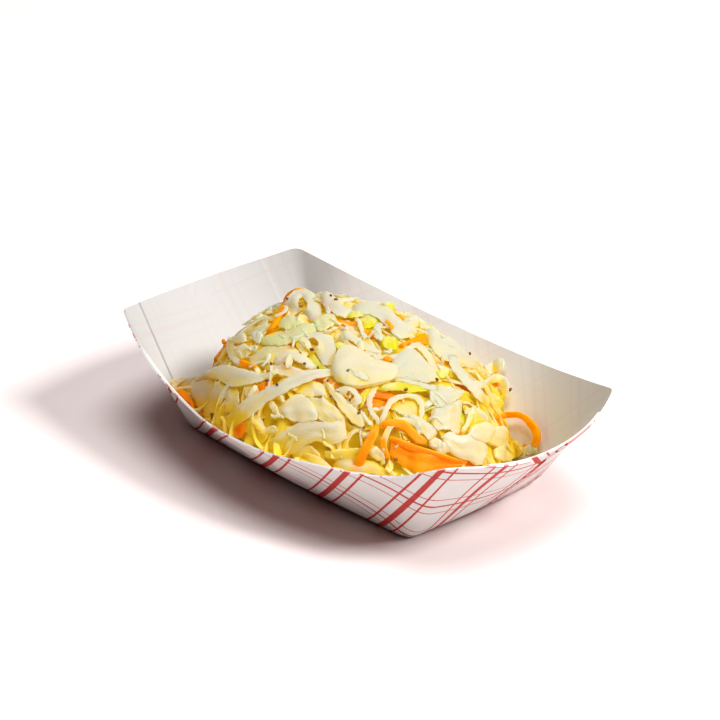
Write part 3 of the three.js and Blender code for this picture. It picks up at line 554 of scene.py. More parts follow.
def soften(values, spread):
    """A row of values, each mixed with its neighbours by a bell curve that is this many
    steps wide."""
    reach = int(3 * spread) + 1
    bell = np.exp(-0.5 * (np.arange(-reach, reach + 1) / spread) ** 2)
    padded = np.pad(values, reach, mode="edge")
    return np.convolve(padded, bell / bell.sum(), "valid")


def smooth_path(corners, count):
    """A Catmull-Rom curve through the corners, whose two numbers come in turn, read off at
    even steps of its length."""
    corners = np.reshape(corners, (-1, 2)).astype(float)
    ends = [2 * corners[0] - corners[1], 2 * corners[-1] - corners[-2]]
    padded = np.vstack([ends[0], corners, ends[1]])
    spans = len(corners) - 1
    place = np.linspace(0, spans, CURVE_STEPS * spans + 1)
    first = np.minimum(place.astype(int), spans - 1)
    t = (place - first)[:, None]
    before, start, end, after = (padded[first + n] for n in range(4))
    slope = (end - before) * t
    bend = (2 * before - 5 * start + 4 * end - after) * t**2
    twist = (3 * start - before - 3 * end + after) * t**3
    curve = 0.5 * (2 * start + slope + bend + twist)
    length = np.append(0, np.cumsum(np.linalg.norm(np.diff(curve, axis=0), axis=1)))
    even = np.linspace(0, length[-1], count)
    return np.stack([np.interp(even, length, column) for column in curve.T], -1)


# ---------------------------------------------------------------- meshes

# How much thinner a flat slab is at its sides and at its ends, and a dome at both.
SIDE_THINNING = 0.2
END_THINNING = 0.25
DOME_THINNING = 0.96
# Faces of the slaw, and of the tray, that meet at more than this angle in radians keep a
# sharp edge.
CRISP_SLAW = 0.85
CRISP_TRAY = 0.6


class Part(NamedTuple):
    """Points in mm, quads of their numbers, and for each point its surface place, how close
    it is to the cut edge, and its tone."""

    points: np.ndarray
    quads: np.ndarray
    surface: np.ndarray
    border: np.ndarray
    tone: np.ndarray


def closed_slab(middle, thick, tone, fade=0.0, dome=False):
    """A closed thin body round a middle surface given on a grid.

    Each grid point goes half the thickness up and down the surface's normal. The thickness
    falls by high powers of the places across and along: a little at the edge of a flat slab,
    and by the square root of such powers almost to nothing at the edge of a dome. The two
    skins meet in quads round the edge. The tone grows by the fade from side to side, painted
    shade on a placed piece and a random change of tone on a loose one.
    """
    rows, columns = middle.shape[:2]
    along = np.gradient(middle, axis=0)
    across = np.gradient(middle, axis=1)
    normal = unit(np.cross(along, across))
    s = np.abs(np.linspace(-1, 1, rows))[:, None]
    w = np.abs(np.linspace(-1, 1, columns))[None, :]
    if dome:
        edge = np.sqrt((1 - DOME_THINNING * w**6) * (1 - DOME_THINNING * s**8))
    else:
        edge = (1 - SIDE_THINNING * w**6) * (1 - END_THINNING * s**12)
    border = np.maximum(w**5, s**12)
    half = (0.5 * thick * edge)[..., None] * normal
    ring = np.concatenate([middle + half, (middle - half)[:, ::-1]], axis=1)

    length = np.cumsum(np.linalg.norm(along, axis=-1), axis=0)
    width = np.cumsum(np.linalg.norm(across, axis=-1), axis=1)
    place = np.stack([length, width], -1)
    surface = np.concatenate([place, place[:, ::-1]], axis=1)

    number = np.arange(rows * 2 * columns).reshape(rows, 2 * columns)
    beside = np.roll(number, -1, axis=1)
    skin = np.stack([number[:-1], number[1:], beside[1:], beside[:-1]], -1).reshape(-1, 4)
    upper, lower = number[:, :columns], number[:, :columns - 1:-1]
    first = np.stack([upper[0, :-1], upper[0, 1:], lower[0, 1:], lower[0, :-1]], -1)
    last = np.stack([upper[-1, :-1], lower[-1, :-1], lower[-1, 1:], upper[-1, 1:]], -1)
    quads = np.concatenate([skin, first, last])
    tones = tone + fade * np.linspace(-0.5, 0.5, columns) * np.ones((rows, 1))
    border, tones = (np.concatenate([grid, grid[:, ::-1]], axis=1).ravel()
                     for grid in (border, tones))
    return Part(ring.reshape(-1, 3), quads, surface.reshape(-1, 2), border, tones)


def mesh_object(name, points, faces, uv, attributes, material):
    """An object from points in mm, groups of faces with the same number of corners, one
    surface place for each face corner, and named numbers for each point."""
    corners = np.concatenate([group.ravel() for group in faces]).astype(np.int32)
    sizes = np.concatenate([np.full(len(group), group.shape[1]) for group in faces])
    starts = np.append(0, np.cumsum(sizes)[:-1]).astype(np.int32)
    mesh = bpy.data.meshes.new(name)
    mesh.vertices.add(len(points))
    mesh.vertices.foreach_set("co", (points * MM).astype(np.float32).ravel())
    mesh.loops.add(len(corners))
    mesh.loops.foreach_set("vertex_index", corners)
    mesh.polygons.add(len(sizes))
    mesh.polygons.foreach_set("loop_start", starts)
    mesh.polygons.foreach_set("use_smooth", np.ones(len(sizes), dtype=bool))
    layer = mesh.uv_layers.new(name="surface")
    layer.data.foreach_set("uv", uv.astype(np.float32).ravel())
    for key, values in attributes.items():
        attribute = mesh.attributes.new(key, "FLOAT", "POINT")
        attribute.data.foreach_set("value", values.astype(np.float32))
    mesh.update(calc_edges=True)
    mesh.validate()
    piece = bpy.data.objects.new(name, mesh)
    piece.data.materials.append(material)
    bpy.context.scene.collection.objects.link(piece)
    return piece


def joined_parts(name, parts, material):
    """One piece of the heap from many parts, with each point's tone and how much of the sky the pile hides
    from it, by which the material paints shade.
    """
    counts = [len(part.points) for part in parts]
    offsets = np.append(0, np.cumsum(counts)[:-1])
    points = np.concatenate([part.points for part in parts])
    quads = np.concatenate([part.quads + offset for part, offset in zip(parts, offsets)])
    surface = np.concatenate([part.surface for part in parts])
    tones = np.concatenate([part.tone for part in parts])
    numbers = np.repeat(np.arange(len(parts)), counts)
    # How much of the sky the pile hides from each point, which the material paints as shade.
    depth = laid_heap().pile.cover_depth(points)
    borders = np.concatenate([part.border for part in parts])
    attributes = {"tone": tones, "depth": depth, "number": numbers, "border": borders}
    piece = mesh_object(name, points, [quads], surface[quads.ravel()], attributes, material)
    piece.data.set_sharp_from_angle(angle=CRISP_SLAW)
    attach(piece, "root")
    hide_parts("coleslaw")
    return piece


# ---------------------------------------------------------------- the tray's walls

def wall_profile(run, softness):
    """Height share against run share: a hyperbola that leaves the base flat, then straight."""
    return (np.hypot(run, softness) - softness) / (np.hypot(1, softness) - softness)


def wall_run(share, softness):
    """The run share at which a wall reaches this share of its height."""
    reach = share * (np.hypot(1, softness) - softness) + softness
    return np.sqrt(np.maximum(reach**2 - softness**2, 0))


def side_rim(u, tray):
    """Reach and height of a long rim at u, from -1 to 1: both follow a parabola."""
    rise = 1 - u**2
    return tray.corner_width + tray.side_bow * rise, tray.corner_height - tray.side_dip * rise


def end_rim(t, tray):
    """Reach and height of a short rim at t, from -1 to 1: both follow a parabola."""
    rise = 1 - t**2
    return tray.corner_length + tray.end_bow * rise, tray.corner_height - tray.end_dip * rise


def side_wall(u, run, far, tray):
    """Points of a long wall, and their places on the flat sheet. A point goes straight out
    from base to rim, and its sheet place is the slant length out from the base's edge."""
    out, height = side_rim(u, tray)
    x = u * mix(tray.base_length, tray.corner_length, run)
    y = far * mix(tray.base_width, out, run)
    z = height * wall_profile(run, tray.softness)
    slant = run * np.hypot(out - tray.base_width, height)
    sheet = np.stack([x, far * (tray.base_width + slant)], -1)
    return np.stack([x, y, z], -1), sheet


def end_wall(t, run, right, tray):
    """Points of an end wall, and their places on the sheet of its panel and of both wings.

    A wing belongs to the long wall's sheet, so its place is turned about the base's corner
    by the difference between the two corner angles of the folds.
    """
    out, height = end_rim(t, tray)
    x = right * mix(tray.base_length, out, run)
    y = t * mix(tray.base_width, tray.corner_width, run)
    z = height * wall_profile(run, tray.softness)
    slant = run * np.hypot(out - tray.base_length, height)
    panel = np.stack([right * (tray.base_length + slant), y], -1)
    long_run = tray.corner_length - tray.base_length
    wide_run = tray.corner_width - tray.base_width
    side_angle = np.arctan2(np.hypot(wide_run, tray.corner_height), long_run)
    end_angle = np.arctan2(np.hypot(long_run, tray.corner_height), -wide_run)
    turn = side_angle - end_angle
    wings = {}
    for far in (-1, 1):
        s = tray.base_width - far * y
        along = tray.base_length + np.cos(turn) * s - np.sin(turn) * slant
        outward = np.sin(turn) * s + np.cos(turn) * slant
        wings[far] = np.stack([right * along, far * (tray.base_width + outward)], -1)
    return np.stack([x, y, z], -1), panel, wings


# Room that the slaw keeps from the long walls, the end walls and the base, in mm.
SIDE_MARGIN = 1.0
END_MARGIN = 1.8
BASE_MARGIN = 0.1
# How often a wall's run is corrected, the share of the way it goes each time, and how often
# a height is halved.
RUN_ROUNDS = 14
RUN_STRIDE = 0.6
HALVINGS = 12


def wall_reach(place, z, rim, base_half, corner_half, base_out, tray):
    """How far out a wall stands at this place along it and this height. Its run there is
    found in rounds, each from the rim's reach and height that the last run gives."""
    run = np.full(np.shape(place), 0.5)
    for _ in range(RUN_ROUNDS):
        share = np.clip(np.abs(place) / mix(base_half, corner_half, run), 0, 1)
        out, height = rim(share, tray)
        run = mix(run, wall_run(np.clip(z / height, 0, 1), tray.softness), RUN_STRIDE)
    return mix(base_out, out, run)


def side_reach(x, z, tray):
    """How far out along Y the slaw may reach at this place and height."""
    halves = (tray.base_length, tray.corner_length)
    return wall_reach(x, z, side_rim, *halves, tray.base_width, tray) - SIDE_MARGIN


def end_reach(y, z, tray):
    """How far out along X the slaw may reach at this place and height."""
    halves = (tray.base_width, tray.corner_width)
    return wall_reach(y, z, end_rim, *halves, tray.base_length, tray) - END_MARGIN


def keep_inside(points, tray):
    """Points drawn in along Y and then along X to where the walls leave room."""
    x, y = points[..., 0], points[..., 1]
    z = np.maximum(points[..., 2], tray.board + BASE_MARGIN)
    across = side_reach(x, z, tray)
    y = np.clip(y, -across, across)
    along = end_reach(y, z, tray)
    return np.stack([np.clip(x, -along, along), y, z], -1)


def floor_height(x, y, tray):
    """Lowest height with room for food: the base, or the wall above a place, by halving."""
    low = np.full(np.shape(x), tray.board + BASE_MARGIN)
    high = np.full(np.shape(x), tray.corner_height)

    def fits(z):
        """Whether there is room at this height."""
        return (np.abs(y) <= side_reach(x, z, tray)) & (np.abs(x) <= end_reach(y, z, tray))

    on_base = fits(low)
    for _ in range(HALVINGS):
        middle = (low + high) / 2
        room = fits(middle)
        high = np.where(room, middle, high)
        low = np.where(room, low, middle)
    return np.where(on_base, tray.board + BASE_MARGIN, high)


# ---------------------------------------------------------------- the tray's shell

# Edges of the end panels as shares of the end's half width, at the rim and at the base,
# and the tips of the wings that wrap round them, for the left (-1) and right (1) end.
PANEL_EDGES = {
    (-1, -1): (0.744, 0.98),
    (-1, 1): (0.69, 0.90),
    (1, -1): (0.60, 0.82),
    (1, 1): (0.70, 0.92),
}
WING_TIPS = {-1: (-0.20, 0.02, 0.22), 1: (-0.23, 0.07, 0.20)}
# The share of the wall over which the tips draw together, their gap there, half the width of
# a lap's step, and the share of the wall over which the laps rise from the base.
TIP_DROP = 0.2
TIP_GAP = 0.03
LAP_STEP = 0.004
LAP_RISE = 0.25
# Where a corner's curve starts on the long wall and on the end, for a crisp corner and for
# the rounder one at the near right.
CORNER_START = (0.965, 0.93)
ROUND_CORNER_START = (0.88, 0.86)
# Stations along a long wall and round a corner, rows up a wall and how they gather near the
# base, and the rows of the base as shares of its half width.
SIDE_STEPS = 90
CORNER_STEPS = 10
WALL_ROWS = 26
ROW_POWER = 1.5
BASE_ROWS = (0.25, 0.5, 0.75, 0.92)
# Between the lines that divide an end: the steps, and whether the near wing (-1), the panel
# (0) or the far wing (1) shows. On each line: the layers of board to the inner and from the
# outer skin.
END_STEPS = (3, 1, 12, 1, 5, 1, 12, 1, 3)
ZONES = (-1, -1, -1, 0, 0, 1, 1, 1, 1)
INNER_LAYERS = (1, 1, 2, 2, 2, 2, 2, 2, 1, 1)
OUTER_LAYERS = (0, 0, 0, 0, 1, 1, 0, 0, 0, 0)


def end_lines(right, run, starts):
    """Lines that divide an end, from the near to the far corner: corner, panel edge and wing
    tip, each edge as a pair a lap step apart. Each is its place at every run."""
    near_rim, near_base = PANEL_EDGES[right, -1]
    far_rim, far_base = PANEL_EDGES[right, 1]
    tip_rim, tip_low, far_tip_rim = WING_TIPS[right]
    drop = np.clip((1 - run) / TIP_DROP, 0, 1)
    near_panel = -mix(near_base, near_rim, run)
    far_panel = mix(far_base, far_rim, run)
    near_tip = mix(tip_rim, tip_low, drop)
    far_tip = mix(far_tip_rim, tip_low + TIP_GAP, drop)
    lines = [-starts[0] + 0 * run]
    for place in (near_panel, near_tip, far_tip, far_panel):
        lines += [place - LAP_STEP, place + LAP_STEP]
    return lines + [starts[1] + 0 * run]


def end_segment(right, starts, run, tray):
    """Stations of an end wall from the near to the far corner, with the sheet place that
    the face before and the face after each station use."""
    lines = end_lines(right, run, starts)
    columns = {"points": [], "before": [], "after": [], "inner": [], "outer": []}
    last_zone = ZONES[0]
    for index, steps in enumerate(END_STEPS):
        closing = index == len(END_STEPS) - 1
        for step in range(steps + closing):
            t = mix(lines[index], lines[index + 1], step / steps)
            points, panel, wings = end_wall(t, run, right, tray)
            sheets = {-1: wings[-1], 0: panel, 1: wings[1]}
            columns["points"].append(points)
            columns["before"].append(sheets[last_zone])
            columns["after"].append(sheets[ZONES[index]])
            line = index + (step > 0)
            columns["inner"].append(INNER_LAYERS[line])
            columns["outer"].append(OUTER_LAYERS[line])
            last_zone = ZONES[index]
    return {key: np.array(values) for key, values in columns.items()}


def plain_segment(points, sheet):
    """Stations of one layer of board, whose faces on both sides use the same sheet place."""
    layers = np.ones(len(points), dtype=int)
    return {"points": points, "before": sheet, "after": sheet, "inner": layers, "outer": 0 * layers}


def side_segment(far, starts, run, tray):
    """Stations of a long wall from left to right."""
    places = np.linspace(-starts[0], starts[1], SIDE_STEPS)
    pairs = [side_wall(np.full(run.shape, u), run, far, tray) for u in places]
    return plain_segment(*(np.array(column) for column in zip(*pairs)))


def corner_segment(right, far, starts, run, tray):
    """Stations round a corner from the long wall to the end: a quadratic Bezier curve whose
    middle point is the sharp corner, on the tray and on the flat sheet alike."""
    whole = np.ones(run.shape)
    side, side_sheet = side_wall(right * starts[0] * whole, run, far, tray)
    sharp, sharp_sheet = side_wall(right * whole, run, far, tray)
    end, _, wings = end_wall(far * starts[1] * whole, run, right, tray)
    share = (np.arange(1, CORNER_STEPS) / CORNER_STEPS)[:, None, None]

    def curve(first, middle, last):
        """The curve's points for these three."""
        return (1 - share) ** 2 * first + 2 * share * (1 - share) * middle + share**2 * last

    return plain_segment(curve(side, sharp, end), curve(side_sheet, sharp_sheet, wings[far]))


def backwards(segment):
    """The same stations in the other order."""
    turned = {key: values[::-1] for key, values in segment.items()}
    turned["before"], turned["after"] = turned["after"], turned["before"]
    return turned


def tray_ring(run, tray):
    """All stations round the tray, anticlockwise from the near left corner."""
    crisp, soft = CORNER_START, ROUND_CORNER_START
    near_side = side_segment(-1, (crisp[0], soft[0]), run, tray)
    far_side = side_segment(1, (crisp[0], crisp[0]), run, tray)
    right_end = end_segment(1, (soft[1], crisp[1]), run, tray)
    left_end = end_segment(-1, (crisp[1], crisp[1]), run, tray)
    segments = [
        near_side,
        corner_segment(1, -1, soft, run, tray),
        right_end,
        backwards(corner_segment(1, 1, crisp, run, tray)),
        backwards(far_side),
        corner_segment(-1, 1, crisp, run, tray),
        backwards(left_end),
        backwards(corner_segment(-1, -1, crisp, run, tray)),
    ]
    return {key: np.concatenate([segment[key] for segment in segments]) for key in near_side}


# The rim is cut low near the front right corner: where its middle is, as a place on the
# tray, how far down the wall it goes at most, and how fast that fades to both sides, in mm.
LOW_RIM = (53.0, -39.0)
LOW_RIM_SHARE = 0.11
LOW_RIM_FADE = (13.0, 9.0)


def cut_low(ring, run):
    """The stations with their rim moved down the wall by a bell curve of the distance
    along the rim. Each row is read off between the rows that it now falls between."""
    rim = ring["points"][:, -1]
    steps = np.linalg.norm(np.diff(rim[:, :2], axis=0), axis=1)
    length = np.append(0, np.cumsum(steps))
    lowest = np.linalg.norm(rim[:, :2] - LOW_RIM, axis=1).argmin()
    apart = length - length[lowest]
    fade = np.where(apart < 0, *LOW_RIM_FADE)
    share = LOW_RIM_SHARE * np.exp(-0.5 * (apart / fade) ** 2)
    row = np.interp(run * (1 - share[:, None]), run, np.arange(len(run)))
    first = np.minimum(row.astype(int), len(run) - 2)
    part = (row - first)[..., None]
    station = np.arange(len(rim))[:, None]
    moved = dict(ring)
    for key in ("points", "before", "after"):
        rows = ring[key]
        moved[key] = rows[station, first] * (1 - part) + rows[station, first + 1] * part
    return moved


# Unevenness of the board, and the height from which it is at its full size, in mm.
WOBBLE = 0.16
WOBBLE_HEIGHT = 15


def wobble(points):
    """Slight unevenness of folded board, a sum of slow sines that grows with height."""
    x, y, z = np.moveaxis(points, -1, 0)
    waves = np.sin(x * 0.11 + 1.3) * np.sin(y * 0.09) + 0.6 * np.sin(x * 0.23 + y * 0.17)
    return WOBBLE * waves * np.clip(z / WOBBLE_HEIGHT, 0, 1)


def tray_shell(tray):
    """Points, faces, sheet places and inside mark of the whole folded tray.

    The outer skin runs from the middle of the base up to the rim. The inner skin is the same
    one moved in along its normals by one or two layers of board, and quads close the rim.
    """
    run = np.linspace(0, 1, WALL_ROWS) ** ROW_POWER
    ring = cut_low(tray_ring(run, tray), run)
    count = len(ring["points"])
    wall = np.moveaxis(ring["points"], 0, 1)
    beside = np.roll(wall, -1, axis=1) - np.roll(wall, 1, axis=1)
    normal = unit(np.cross(beside, np.gradient(wall, axis=0)))
    normal = np.where(normal[..., 2:] > 0, -normal, normal)
    normal[0] = (0, 0, -1)
    wall = wall + normal * wobble(wall)[..., None]
    base = wall[0] * np.array(BASE_ROWS)[:, None, None]
    skin = np.concatenate([np.zeros((1, 3)), base.reshape(-1, 3), wall.reshape(-1, 3)])
    flat_rows = len(base)
    down = np.tile((0.0, 0.0, -1.0), (1 + flat_rows * count, 1))
    normals = np.concatenate([down, normal.reshape(-1, 3)])
    risen = np.clip(run[1:] / LAP_RISE, 0, 1)[:, None]
    inner_rows = (1 + risen * (ring["inner"] - 1)).ravel()
    outer_rows = (risen * ring["outer"]).ravel()
    inner_layers = np.concatenate([np.ones(len(down) + count), inner_rows])
    outer_layers = np.concatenate([np.zeros(len(down) + count), outer_rows])
    outer = skin - normals * outer_layers[:, None] * tray.board
    inner = skin - normals * inner_layers[:, None] * tray.board

    number = 1 + np.arange((flat_rows + WALL_ROWS) * count).reshape(-1, count)
    after = np.roll(number, -1, axis=1)
    middle = np.zeros(count, dtype=int)
    fan = np.stack([middle, after[0], number[0]], -1)
    flat = np.stack([number[:flat_rows], after[:flat_rows],
                     after[1:flat_rows + 1], number[1:flat_rows + 1]], -1).reshape(-1, 4)
    rows = number[flat_rows:]
    beyond = after[flat_rows:]
    upright = np.stack([rows[:-1], beyond[:-1], beyond[1:], rows[1:]], -1).reshape(-1, 4)
    rim = np.stack([rows[-1], beyond[-1], beyond[-1] + len(skin), rows[-1] + len(skin)], -1)

    sheet_after = np.moveaxis(ring["after"], 0, 1)
    sheet_before = np.roll(np.moveaxis(ring["before"], 0, 1), -1, axis=1)
    upright_sheet = np.stack([sheet_after[:-1], sheet_before[:-1],
                              sheet_before[1:], sheet_after[1:]], 2).reshape(-1, 4, 2)
    rim_sheet = np.stack([sheet_after[-1], sheet_before[-1], sheet_before[-1], sheet_after[-1]], 1)
    flat_sheet = skin[flat][..., :2]
    fan_sheet = skin[fan][..., :2]

    def inside(faces):
        """The same faces on the inner skin, turned round."""
        return faces[:, ::-1] + len(skin)

    faces = [fan, inside(fan), flat, upright, inside(flat), inside(upright), rim]
    sheets = [fan_sheet, fan_sheet[:, ::-1], flat_sheet, upright_sheet,
              flat_sheet[:, ::-1], upright_sheet[:, ::-1], rim_sheet]
    uv = np.concatenate([sheet.reshape(-1, 2) for sheet in sheets])
    points = np.concatenate([outer, inner])
    mark = np.repeat([0.0, 1.0], len(skin))
    return points, faces, uv, mark


# ---------------------------------------------------------------- the heap's form

# The dome's powers along and across, the power of its shoulder, and how far its crest falls
# to the right for each mm.
LENGTH_POWER = 1.8
WIDTH_POWER = 1.6
SHOULDER = 0.6
FALL = 0.11
# How much lower the bed is on the far side, reached at this place across, in mm.
BED_TILT = 2.5
BED_HALF = 45.0
# Where the bed starts to drop at each end, in mm, and how steeply, and how much nearer to the
# middle the right drop starts for each mm towards the far side.
RIGHT_DROP = (42.0, 0.8)
LEFT_DROP = (-42.0, 0.8)
FAR_SLANT = 0.7


def heap_height(x, y, heap):
    """Mean height of the slaw: a superelliptic dome above a bed that drops at both ends, on
    the right along a line that slants towards the far corner."""
    dx = x - heap.centre_x
    dy = y - heap.centre_y
    along = np.abs(dx) / np.where(dx < 0, heap.left, heap.right)
    across = np.abs(dy) / np.where(dy < 0, heap.near, heap.far)
    dome = np.maximum(1 - along**LENGTH_POWER - across**WIDTH_POWER, 0) ** SHOULDER
    past = x + FAR_SLANT * np.maximum(y, 0) - RIGHT_DROP[0]
    drop = RIGHT_DROP[1] * np.maximum(past, 0)
    drop = drop + LEFT_DROP[1] * np.maximum(LEFT_DROP[0] - x, 0)
    bed = heap.bed - BED_TILT * np.clip(y / BED_HALF, -1, 1) - drop
    return bed + (heap.height - heap.bed - FALL * dx) * dome


# The depths between which the view's rays are followed, in mm, and in how many steps, and how
# close a ray that passes over the crest comes to count as landing there, in mm.
RAY_NEAR = 775.0
RAY_FAR = 960.0
RAY_STEPS = 1500
GRAZE = 4.0


def ray_points(places):
    """Even depths in the view, and for each place the points of its ray at those depths."""
    eye, rays = view_rays(places)
    depths = np.linspace(RAY_NEAR, RAY_FAR, RAY_STEPS)
    return depths, eye + rays[:, None] * depths[:, None]


def ray_depths(places, lift, heap, pile):
    """How deep in the view each place meets the heap or the tray's far wall: the first of
    many even steps at which its ray is below them plus the lift, or passes over the crest
    within GRAZE of them, or else the one that comes closest."""
    depths, points = ray_points(places)
    x, y, z = np.moveaxis(points, -1, 0)
    gap = z - np.maximum(heap_height(x, y, heap), pile.far_wall(x, y)) - lift[:, None]
    falls = np.diff(gap, axis=1) < 0
    passes = falls[:, :-1] & ~falls[:, 1:] & (gap[:, 1:-1] < GRAZE)
    lands = (gap <= 0) | np.pad(passes, ((0, 0), (1, 1)))
    first = np.where(lands.any(axis=1), lands.argmax(axis=1), gap.argmin(axis=1))
    return depths[first]


# Points along and across a placed piece, and how widely its depths are softened in steps.
VIEW_ROWS = 36
VIEW_COLUMNS = 13
DEPTH_SPREAD = 1.6
# The share of a piece's lift that it keeps, and how much of that it loses at its ends.
LIFT_SHARE = 0.65
TUCK = 0.9
# How much deeper or less deep the first edge may lie: a share of the width, and some mm.
ROOM_SHARE = 1.2
ROOM = 1.0
# Height in mm of a piece's bulge for each unit of it, of its waves and of its ridges, and the
# width in mm from which the waves are at their full height.
BULGE = 0.16
WAVE = 0.16
WAVE_WIDTH = 4
RIDGE = 0.09
# How far edges fray, in mm, on thin and on thick pieces, and the thickness of the latter.
FRAY = (0.22, 0.04)
FRAY_THICK = 0.9


def view_sheet(sheet, heap, pile, tray, draw):
    """The middle surface and the solid of a piece seen between two edges.

    Both edges become smooth paths in the view and land on the heap, lifted by a share of the
    piece's lift and least at their ends. The first edge stays about as deep as the second.
    The middle surface runs straight from edge to edge, stands out by a parabola, waves a
    little along its length and has ridges along it. Its edges fray by small waves across,
    less on a thick piece.
    """
    paths = [smooth_path(edge, VIEW_ROWS) for edge in sheet.edges]
    share = np.linspace(-1, 1, VIEW_ROWS)
    inner = sheet.lift if sheet.inner_lift is None else sheet.inner_lift
    tuck = LIFT_SHARE * (1 - TUCK * share**8)
    depths = [soften(ray_depths(path, lift * tuck, heap, pile), DEPTH_SPREAD)
              for path, lift in zip(paths, (sheet.lift, inner))]
    apart = np.linalg.norm(paths[0] - paths[1], axis=1) * SENSOR / LENS / VIEW_SIZE * DISTANCE
    room = ROOM_SHARE * apart + ROOM
    depths[0] = np.clip(depths[0], depths[1] - room, depths[1] + room)
    edges = []
    for path, depth in zip(paths, depths):
        eye, rays = view_rays(path)
        edges.append(eye + rays * depth[:, None])
    w = np.linspace(0, 1, VIEW_COLUMNS)[None, :]
    phase = draw.uniform(0, TURN, 6)
    fray = np.sin(11 * share[:, None] + phase[0] + 4 * w)
    fray += np.sin(27 * share[:, None] + phase[1] - 3 * w)
    fray *= FRAY[sheet.thick > FRAY_THICK]
    spread = w + fray * (w - 0.5) / np.maximum(apart, 1.5)[:, None]
    middle = edges[0][:, None] * (1 - spread[..., None]) + edges[1][:, None] * spread[..., None]
    normal = unit(np.cross(np.gradient(middle, axis=0), np.gradient(middle, axis=1)))
    normal *= np.sign((normal @ view_axes()[2]).mean())
    waves = np.sin(4 * share + phase[2]) + 0.5 * np.sin(9 * share + phase[3])
    waves = waves[:, None] * np.cos(2.6 * w + phase[4]) * WAVE * min(1, apart.mean() / WAVE_WIDTH)
    ridges = np.sin(2.2 * apart.mean() * w + phase[5] + 0.6 * np.sin(3 * share[:, None]))
    bulge = BULGE * sheet.bulge * 4 * w * (1 - w)
    stand = bulge + waves + RIDGE * ridges * (1 - share[:, None] ** 4)
    middle = keep_inside(middle + normal * stand[..., None], tray)
    return middle, closed_slab(middle, sheet.thick, sheet.tone, sheet.fade)


# ---------------------------------------------------------------- the pile of loose pieces

# The far wall carries pieces up to this place along the tray, in mm.
FAR_WALL_END = 44.0
# A point's cover is looked up in this many bearings and at these distances, in mm, from a
# little above the point.
BEARINGS = 12
HORIZONS = (1.0, 2.0, 3.6, 6.5)
SKIN = 0.25
# How far the core lies under the mean height, how tall its bumps are, and how much the mean
# height must stand above the floor for slaw to lie there, in mm.
CORE_SINK = 7.0
CORE_BUMPS = 0.7
LEAST_SLAW = 0.5
# Room above the mean height, then the gap under a placed piece, how far below them the
# filling stops, and the room for what is laid on top of the placed pieces, in mm.
ROOF = 0.9
ROOF_GAP = 0.1
SLACK = 0.6
LID_SLACK = 0.2
TOP_ROOF = 2.0


class Pile:
    """How high the slaw stands so far, on a square grid over the tray."""

    step = 0.6
    reach = (75.0, 51.0)

    def __init__(self, heap, tray):
        across = [np.arange(-reach, reach + self.step, self.step) for reach in self.reach]
        self.x, self.y = np.meshgrid(*across, indexing="ij")
        self.floor = floor_height(self.x, self.y, tray)
        self.mean = heap_height(self.x, self.y, heap)
        bumps = np.sin(self.x * 0.9 + 2 * np.sin(self.y * 0.31))
        bumps += np.sin(self.y * 0.8 + 2 * np.sin(self.x * 0.27))
        self.core = np.maximum(self.mean - CORE_SINK + CORE_BUMPS * bumps, self.floor)
        self.top = self.core.copy()
        self.roof = self.mean + ROOF
        self.goal = self.mean - SLACK
        self.inside = self.mean > self.floor + LEAST_SLAW

    def cells(self, x, y):
        """Grid numbers of the cells that hold these places."""
        column = np.clip(np.rint((x + self.reach[0]) / self.step), 0, self.x.shape[0] - 1)
        row = np.clip(np.rint((y + self.reach[1]) / self.step), 0, self.x.shape[1] - 1)
        return column.astype(int), row.astype(int)

    def height(self, x, y):
        """Height of the pile at these places."""
        return self.top[self.cells(x, y)]

    def far_wall(self, x, y):
        """Height of the far long wall at these places, which the camera sees from inside."""
        return np.where(y > 0, self.floor[self.cells(np.minimum(x, FAR_WALL_END), y)], 0)

    def room(self, x, y):
        """How high a loose piece may reach at these places."""
        return self.roof[self.cells(x, y)]

    def dense(self, middle):
        """The points of a surface's grid and those half way between them."""
        tall = np.concatenate([middle, (middle[1:] + middle[:-1]) / 2])
        wide = np.concatenate([tall, (tall[:, 1:] + tall[:, :-1]) / 2], axis=1)
        return wide.reshape(-1, 3)

    def add(self, middle, thick):
        """Raises the pile to the upper side of a surface."""
        points = self.dense(middle)
        np.maximum.at(self.top, self.cells(points[:, 0], points[:, 1]), points[:, 2] + thick / 2)

    def roof_over(self, surfaces):
        """Puts the roof, and the height to fill up to, at the under side of these surfaces,
        each given with its thickness. The lowest one counts where they overlap."""
        lid = np.full_like(self.roof, np.inf)
        for middle, thick in surfaces:
            points = self.dense(middle)
            under = points[:, 2] - thick / 2 - ROOF_GAP
            np.minimum.at(lid, self.cells(points[:, 0], points[:, 1]), under)
        covered = np.isfinite(lid)
        self.roof[covered] = lid[covered]
        self.goal[covered] = lid[covered] - LID_SLACK

    def cover_depth(self, points):
        """How much of the sky the finished pile hides from each point: over even bearings,
        the mean sine of the steepest rise to the pile's top at a few distances."""
        hidden = np.zeros(len(points))
        for bearing in np.arange(BEARINGS) * 2 * np.pi / BEARINGS:
            steepest = np.zeros(len(points))
            for distance in HORIZONS:
                x = points[:, 0] + distance * np.cos(bearing)
                y = points[:, 1] + distance * np.sin(bearing)
                rise = (self.height(x, y) - points[:, 2] - SKIN) / distance
                steepest = np.maximum(steepest, rise)
            hidden += steepest / np.hypot(1, steepest)
        return hidden / BEARINGS


class Cut(NamedTuple):
    """How one kind of loose piece is cut: ranges of its sizes in mm and of its bend in
    radians per mm, how often it stands on edge, and its grid of points."""

    length: tuple
    width: tuple
    thick: tuple
    bend: tuple
    standing: float = 0.15
    cup: float = 0.1
    rows: int = 18
    columns: int = 5


